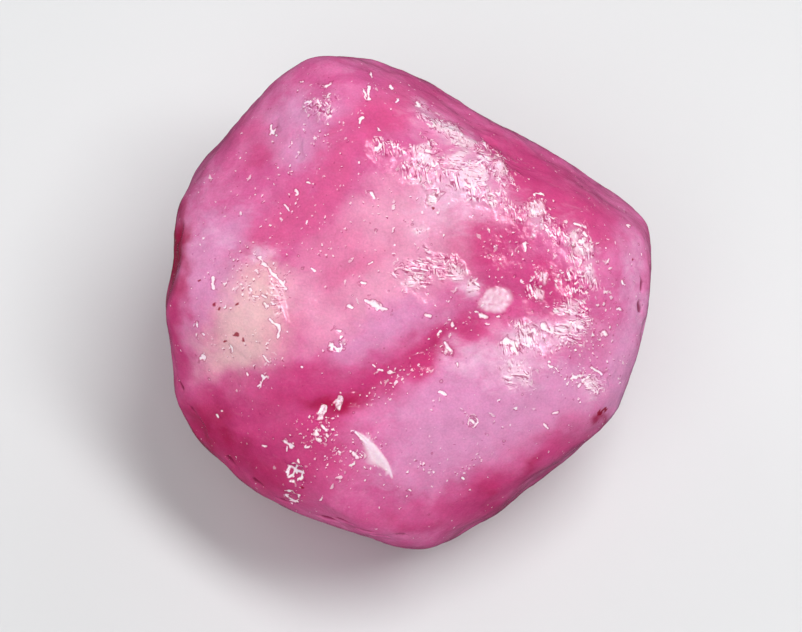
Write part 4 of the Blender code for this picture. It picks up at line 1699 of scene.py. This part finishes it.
@dataclass(frozen=True)
class FloorFinish:
    """The plain pale floor."""

    name: str = "pale_floor"
    tone: tuple = (0.64, 0.645, 0.65, 1.0)
    roughness: float = 0.75
    mottle: tuple = (18.0, 0.03)
    grain_height_mm: float = 0.02

    def build(self) -> bpy.types.Material:
        """Make the material.

        Returns:
            The finished material.
        """
        material = bpy.data.materials.new(self.name)
        material.use_nodes = True
        board = NodeBoard(material.node_tree)
        shader = material.node_tree.nodes["Principled BSDF"]
        mottle = Mottle().put(board, *self.mottle)
        tone = board.add("ShaderNodeCombineColor")
        for socket in tone.inputs:
            board.feed(socket, mottle.outputs["Tone"])
        board.feed(shader.inputs["Base Color"], board.mix(1.0, self.tone, tone.outputs[0], "MULTIPLY"))
        board.feed(shader.inputs["Normal"], board.bump((mottle.outputs["Fine"], self.grain_height_mm)))
        shader.inputs["Roughness"].default_value = self.roughness
        return material


@dataclass
class Lie:
    """Where the stone's own axes lie in the world, worked out from the frame."""

    rest_reach: float = 6.95
    shift: tuple = (0.0, 0.0)

    def to_world(self, points: Rows) -> Rows:
        """Points of the stone's own axes as the stone lies, in metres.

        Args:
            points: places in the stone's own axes, in millimetres.

        Returns:
            World points, one row each.
        """
        across, up, out = np.asarray(points, dtype=float).T
        away = up * math.cos(LEAN) - out * math.sin(LEAN)
        height = up * math.sin(LEAN) + out * math.cos(LEAN) + self.rest_reach
        return np.stack((across + self.shift[0], away + self.shift[1], height), axis=1) * MM

    def to_stone(self, points: Rows) -> Rows:
        """World points in metres back in the stone's own axes.

        Args:
            points: world points, one row each.

        Returns:
            Places in millimetres, one row each.
        """
        across, away, height = (np.asarray(points, dtype=float) / MM).T
        across = across - self.shift[0]
        away = away - self.shift[1]
        height = height - self.rest_reach
        up = away * math.cos(LEAN) + height * math.sin(LEAN)
        out = height * math.cos(LEAN) - away * math.sin(LEAN)
        return np.stack((across, up, out), axis=1)

    def settle(self, points: Rows, low: Vector, high: Vector) -> None:
        """Centre the points over the frame's box.

        Args:
            points: the skin in the stone's own axes.
            low: the box's lowest corner.
            high: the box's highest corner.
        """
        lying = self.to_world(points)[:, :2] / MM
        middle = 0.5 * (lying.min(axis=0) + lying.max(axis=0))
        target = 0.5 * np.array((low[0] + high[0], low[1] + high[1])) / MM
        self.shift = tuple(np.array(self.shift) + target - middle)

    def direction(self, bearing: float, rise: float) -> Vector:
        """World direction of a bearing and a rise of the broad face.

        Args:
            bearing: degrees in the broad face's plane, anticlockwise from its right.
            rise: degrees out of that plane.

        Returns:
            The unit direction.
        """
        across, up, out = heading(bearing, rise)
        return Vector((
            across,
            up * math.cos(LEAN) - out * math.sin(LEAN),
            up * math.sin(LEAN) + out * math.cos(LEAN),
        ))


@dataclass
class RubyStone:
    """The stone: its body, relief, fine skin, clouds and marks, as one piece."""

    lie: Lie
    name: str = "ruby_stone"
    subdivisions: int = 9
    triangles: int = 190_000
    slit_full: float = 0.12
    # Height and wavelength in millimetres, and seed, as waver takes them.
    swells: tuple = ((0.15, 7.0, 3), (0.065, 3.2, 5), (0.024, 1.5, 8))

    def __post_init__(self) -> None:
        """Make the parts that the stone is shaped by."""
        self.body = RoundedBody()
        self.face = FaceRelief()
        self.sides = SideRelief()
        self.fine = FineSkin()
        self.clouding = Clouding()
        self.marking = Marking()

    def skin(self, rays: Rows) -> Rows:
        """Points of the skin along the rays, in the stone's own axes.

        Args:
            rays: unit directions, one row each.

        Returns:
            The points in millimetres, one row each.
        """
        base = self.body.worn(rays)
        points = rays * base[:, None]
        depth = self.face.depth(points) + self.sides.depth(points, self.body)
        depth += self.fine.depth(points, self.body)
        for low_swell in self.swells:
            depth -= waver(points, *low_swell)
        under = heading(-90, math.degrees(LEAN) - 90)
        rest = self.lie.rest_reach / np.maximum(rays @ under, LEAST_COSINE)
        return rays * np.minimum(base - depth, rest)[:, None]

    def ball(self) -> bpy.types.Mesh:
        """A fine ball of radius 1.

        Returns:
            Its mesh.
        """
        mesh = bpy.data.meshes.new(self.name + "_ball")
        form = bmesh.new()
        bmesh.ops.create_icosphere(form, subdivisions=self.subdivisions, radius=1.0)
        form.to_mesh(mesh)
        form.free()
        return mesh

    def thinned(self, mesh: bpy.types.Mesh) -> bpy.types.Mesh:
        """The mesh with fewer triangles.

        Args:
            mesh: the fine mesh, which is used up.

        Returns:
            A mesh whose triangles are kept where the skin bends most.
        """
        fine = bpy.data.objects.new(self.name + "_fine", mesh)
        bpy.context.scene.collection.objects.link(fine)
        thin = fine.modifiers.new("thin", "DECIMATE")
        thin.ratio = self.triangles / len(mesh.polygons)
        thin.use_collapse_triangulate = True
        graph = bpy.context.evaluated_depsgraph_get()
        result = bpy.data.meshes.new_from_object(fine.evaluated_get(graph))
        bpy.data.objects.remove(fine)
        bpy.data.meshes.remove(mesh)
        return result

    def build(self) -> bpy.types.Object:
        """Model the stone in the place of its node.

        Returns:
            The stone's object.
        """
        mesh = self.ball()
        rays = np.empty(3 * len(mesh.vertices), dtype=np.float32)
        mesh.vertices.foreach_get("co", rays)
        rays = rays.reshape(-1, 3).astype(np.float64)
        rays /= np.linalg.norm(rays, axis=1, keepdims=True)
        points = self.skin(rays)
        self.lie.settle(points, *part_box(NODE))
        mesh.vertices.foreach_set("co", self.lie.to_world(points).astype(np.float32).ravel())
        mesh.update()
        mesh = self.thinned(mesh)
        mesh.name = self.name
        stone = bpy.data.objects.new(self.name, mesh)
        bpy.context.scene.collection.objects.link(stone)
        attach(stone, BODY)
        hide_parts(NODE)
        LOG.info("%s: %d triangles", stone.name, len(mesh.polygons))
        return stone

    def dress(self, stone: bpy.types.Object) -> None:
        """Lay the masks and the finish on the stone.

        Args:
            stone: the object that build made.
        """
        mesh = stone.data
        corners = np.empty(3 * len(mesh.vertices), dtype=np.float32)
        mesh.vertices.foreach_get("co", corners)
        rays = self.lie.to_stone(corners.reshape(-1, 3))
        rays /= np.linalg.norm(rays, axis=1, keepdims=True)
        points = rays * self.body.worn(rays)[:, None]
        floors = self.fine.pocks(points, self.body)[1]
        masks = self.clouding.masks(points)
        for mark in (Mark.CRUMPLE, Mark.BUBBLE, Mark.DOTS, Mark.GLOW):
            masks[mark.value] = self.fine.amount(points, mark)
        masks[Mark.FLECKS.value], masks[Mark.LAY.value] = self.fine.flecks(points)
        masks[Mark.FROST_AND_GLINT.value] = self.marking.frost_and_glint(points, self.face, self.fine, floors)
        masks[Mark.GLAZE_AND_SHEEN.value] = self.marking.glaze_and_sheen(points, self.face)
        masks[Mark.SPECK.value] = self.marking.speck(points)
        # Where the slits are, for their painted shade.
        masks[Mark.SLIT.value] = self.sides.slit_shape(points) / self.slit_full
        for name, values in masks.items():
            layer = mesh.attributes.new(name, "FLOAT", "POINT")
            layer.data.foreach_set("value", np.clip(values, -1.0, 1.0).astype(np.float32))
        mesh.materials.clear()
        mesh.materials.append(RubyFinish().build())
        mesh.shade_smooth()
        LOG.info("%s: dressed with %d masks", stone.name, len(masks))


@dataclass
class Studio:
    """A plain pale floor, soft light and the camera."""

    lie: Lie
    floor_half: float = 0.6
    floor_drop: float = 0.00002
    # Name, bearing, rise, distance and size in metres, watts, and whether the gloss mirrors it.
    lamps: tuple = (
        ("key", 46.0, 56.0, 0.25, (0.19, 0.060), 0.525, True),
        ("rim_fill", 50.0, 12.0, 0.40, (0.30, 0.20), 0.34),
        ("over", 200.0, 80.0, 0.50, (0.40, 0.40), 0.70),
        ("low_fill", 225.0, 24.0, 0.40, (0.30, 0.20), 0.60),
        ("left_fill", 135.0, 15.0, 0.40, (0.30, 0.20), 0.32),
    )
    sky: tuple = (0.96, 0.98, 1.0, 1.0)
    sky_rise: tuple = (-0.30, 0.05, 0.05, 0.34)
    sky_fall: tuple = (0.05, 1.0, 0.34, 0.14)
    lens: float = 200.0
    sensor: float = 36.0
    clip: tuple = (0.01, 10.0)
    frame_width_mm: float = 36.88
    aim: tuple = (-0.38, -0.80, -1.0)

    def floor(self) -> None:
        """The floor under the stone."""
        mesh = bpy.data.meshes.new("floor")
        form = bmesh.new()
        bmesh.ops.create_grid(form, x_segments=1, y_segments=1, size=self.floor_half)
        form.to_mesh(mesh)
        form.free()
        mesh.materials.append(FloorFinish().build())
        floor = bpy.data.objects.new("floor", mesh)
        bpy.context.scene.collection.objects.link(floor)
        floor.location.z = -self.floor_drop
        floor.visible_glossy = False

    def area_light(self, name: str, bearing: float, rise: float, distance: float, size: tuple,
                   power: float, mirrored: bool = False) -> None:
        """A soft rectangular light that faces the stone.

        Args:
            name: the light's name.
            bearing: degrees in the broad face's plane, anticlockwise from its right.
            rise: degrees out of that plane.
            distance: metres from the stone.
            size: metres across the bearing and along it.
            power: watts.
            mirrored: whether the light shows in the stone's gloss.
        """
        data = bpy.data.lights.new(name, "AREA")
        data.shape = "RECTANGLE"
        data.size, data.size_y = size
        data.energy = power
        light = bpy.data.objects.new(name, data)
        light.visible_glossy = mirrored
        middle = Vector(self.lie.to_world(np.array([[0.0, 0.0, 0.0]]))[0])
        towards = self.lie.direction(bearing, rise)
        side = self.lie.direction(bearing + 90.0, 0.0)
        up = towards.cross(side)
        turn = Matrix((side, up, towards)).transposed().to_4x4()
        light.matrix_world = Matrix.Translation(middle + towards * distance) @ turn
        bpy.context.scene.collection.objects.link(light)

    def lights(self) -> None:
        """The key light, the fills and a surround that is brightest at the horizon."""
        for lamp in self.lamps:
            self.area_light(*lamp)
        world = bpy.data.worlds.new("studio")
        world.use_nodes = True
        board = NodeBoard(world.node_tree)
        shade = world.node_tree.nodes["Background"]
        split = board.add("ShaderNodeSeparateXYZ")
        board.feed(split.inputs[0], board.add("ShaderNodeTexCoord").outputs["Generated"])
        shade.inputs["Color"].default_value = self.sky
        rising = board.between(split.outputs["Z"], *self.sky_rise)
        falling = board.between(split.outputs["Z"], *self.sky_fall)
        board.feed(shade.inputs["Strength"], board.math("MINIMUM", rising, falling))
        bpy.context.scene.world = world

    def camera(self) -> None:
        """The camera, square on to the broad face."""
        data = bpy.data.cameras.new("camera")
        data.lens = self.lens
        data.sensor_width = self.sensor
        data.clip_start, data.clip_end = self.clip
        camera = bpy.data.objects.new("camera", data)
        distance = self.frame_width_mm * self.lens / self.sensor * MM
        right, up, out = (self.lie.direction(*way) for way in ((0, 0), (90, 0), (0, 90)))
        turn = Matrix((right, up, out)).transposed().to_4x4()
        target = Vector(self.lie.to_world(np.array([self.aim]))[0])
        camera.matrix_world = Matrix.Translation(target + out * distance) @ turn
        bpy.context.scene.collection.objects.link(camera)
        bpy.context.scene.camera = camera

    def build(self) -> None:
        """Set up the studio."""
        self.floor()
        self.lights()
        self.camera()
        bpy.context.scene.view_settings.view_transform = "Standard"
        LOG.info("studio: floor, lights and camera are set")


def main() -> None:
    """Build and dress the stone and set up the studio."""
    logging.basicConfig(level=logging.INFO, format="%(name)s: %(message)s")
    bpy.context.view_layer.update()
    lie = Lie()
    ruby = RubyStone(lie)
    stone = ruby.build()
    ruby.dress(stone)
    Studio(lie).build()


if __name__ == "__main__":
    main()
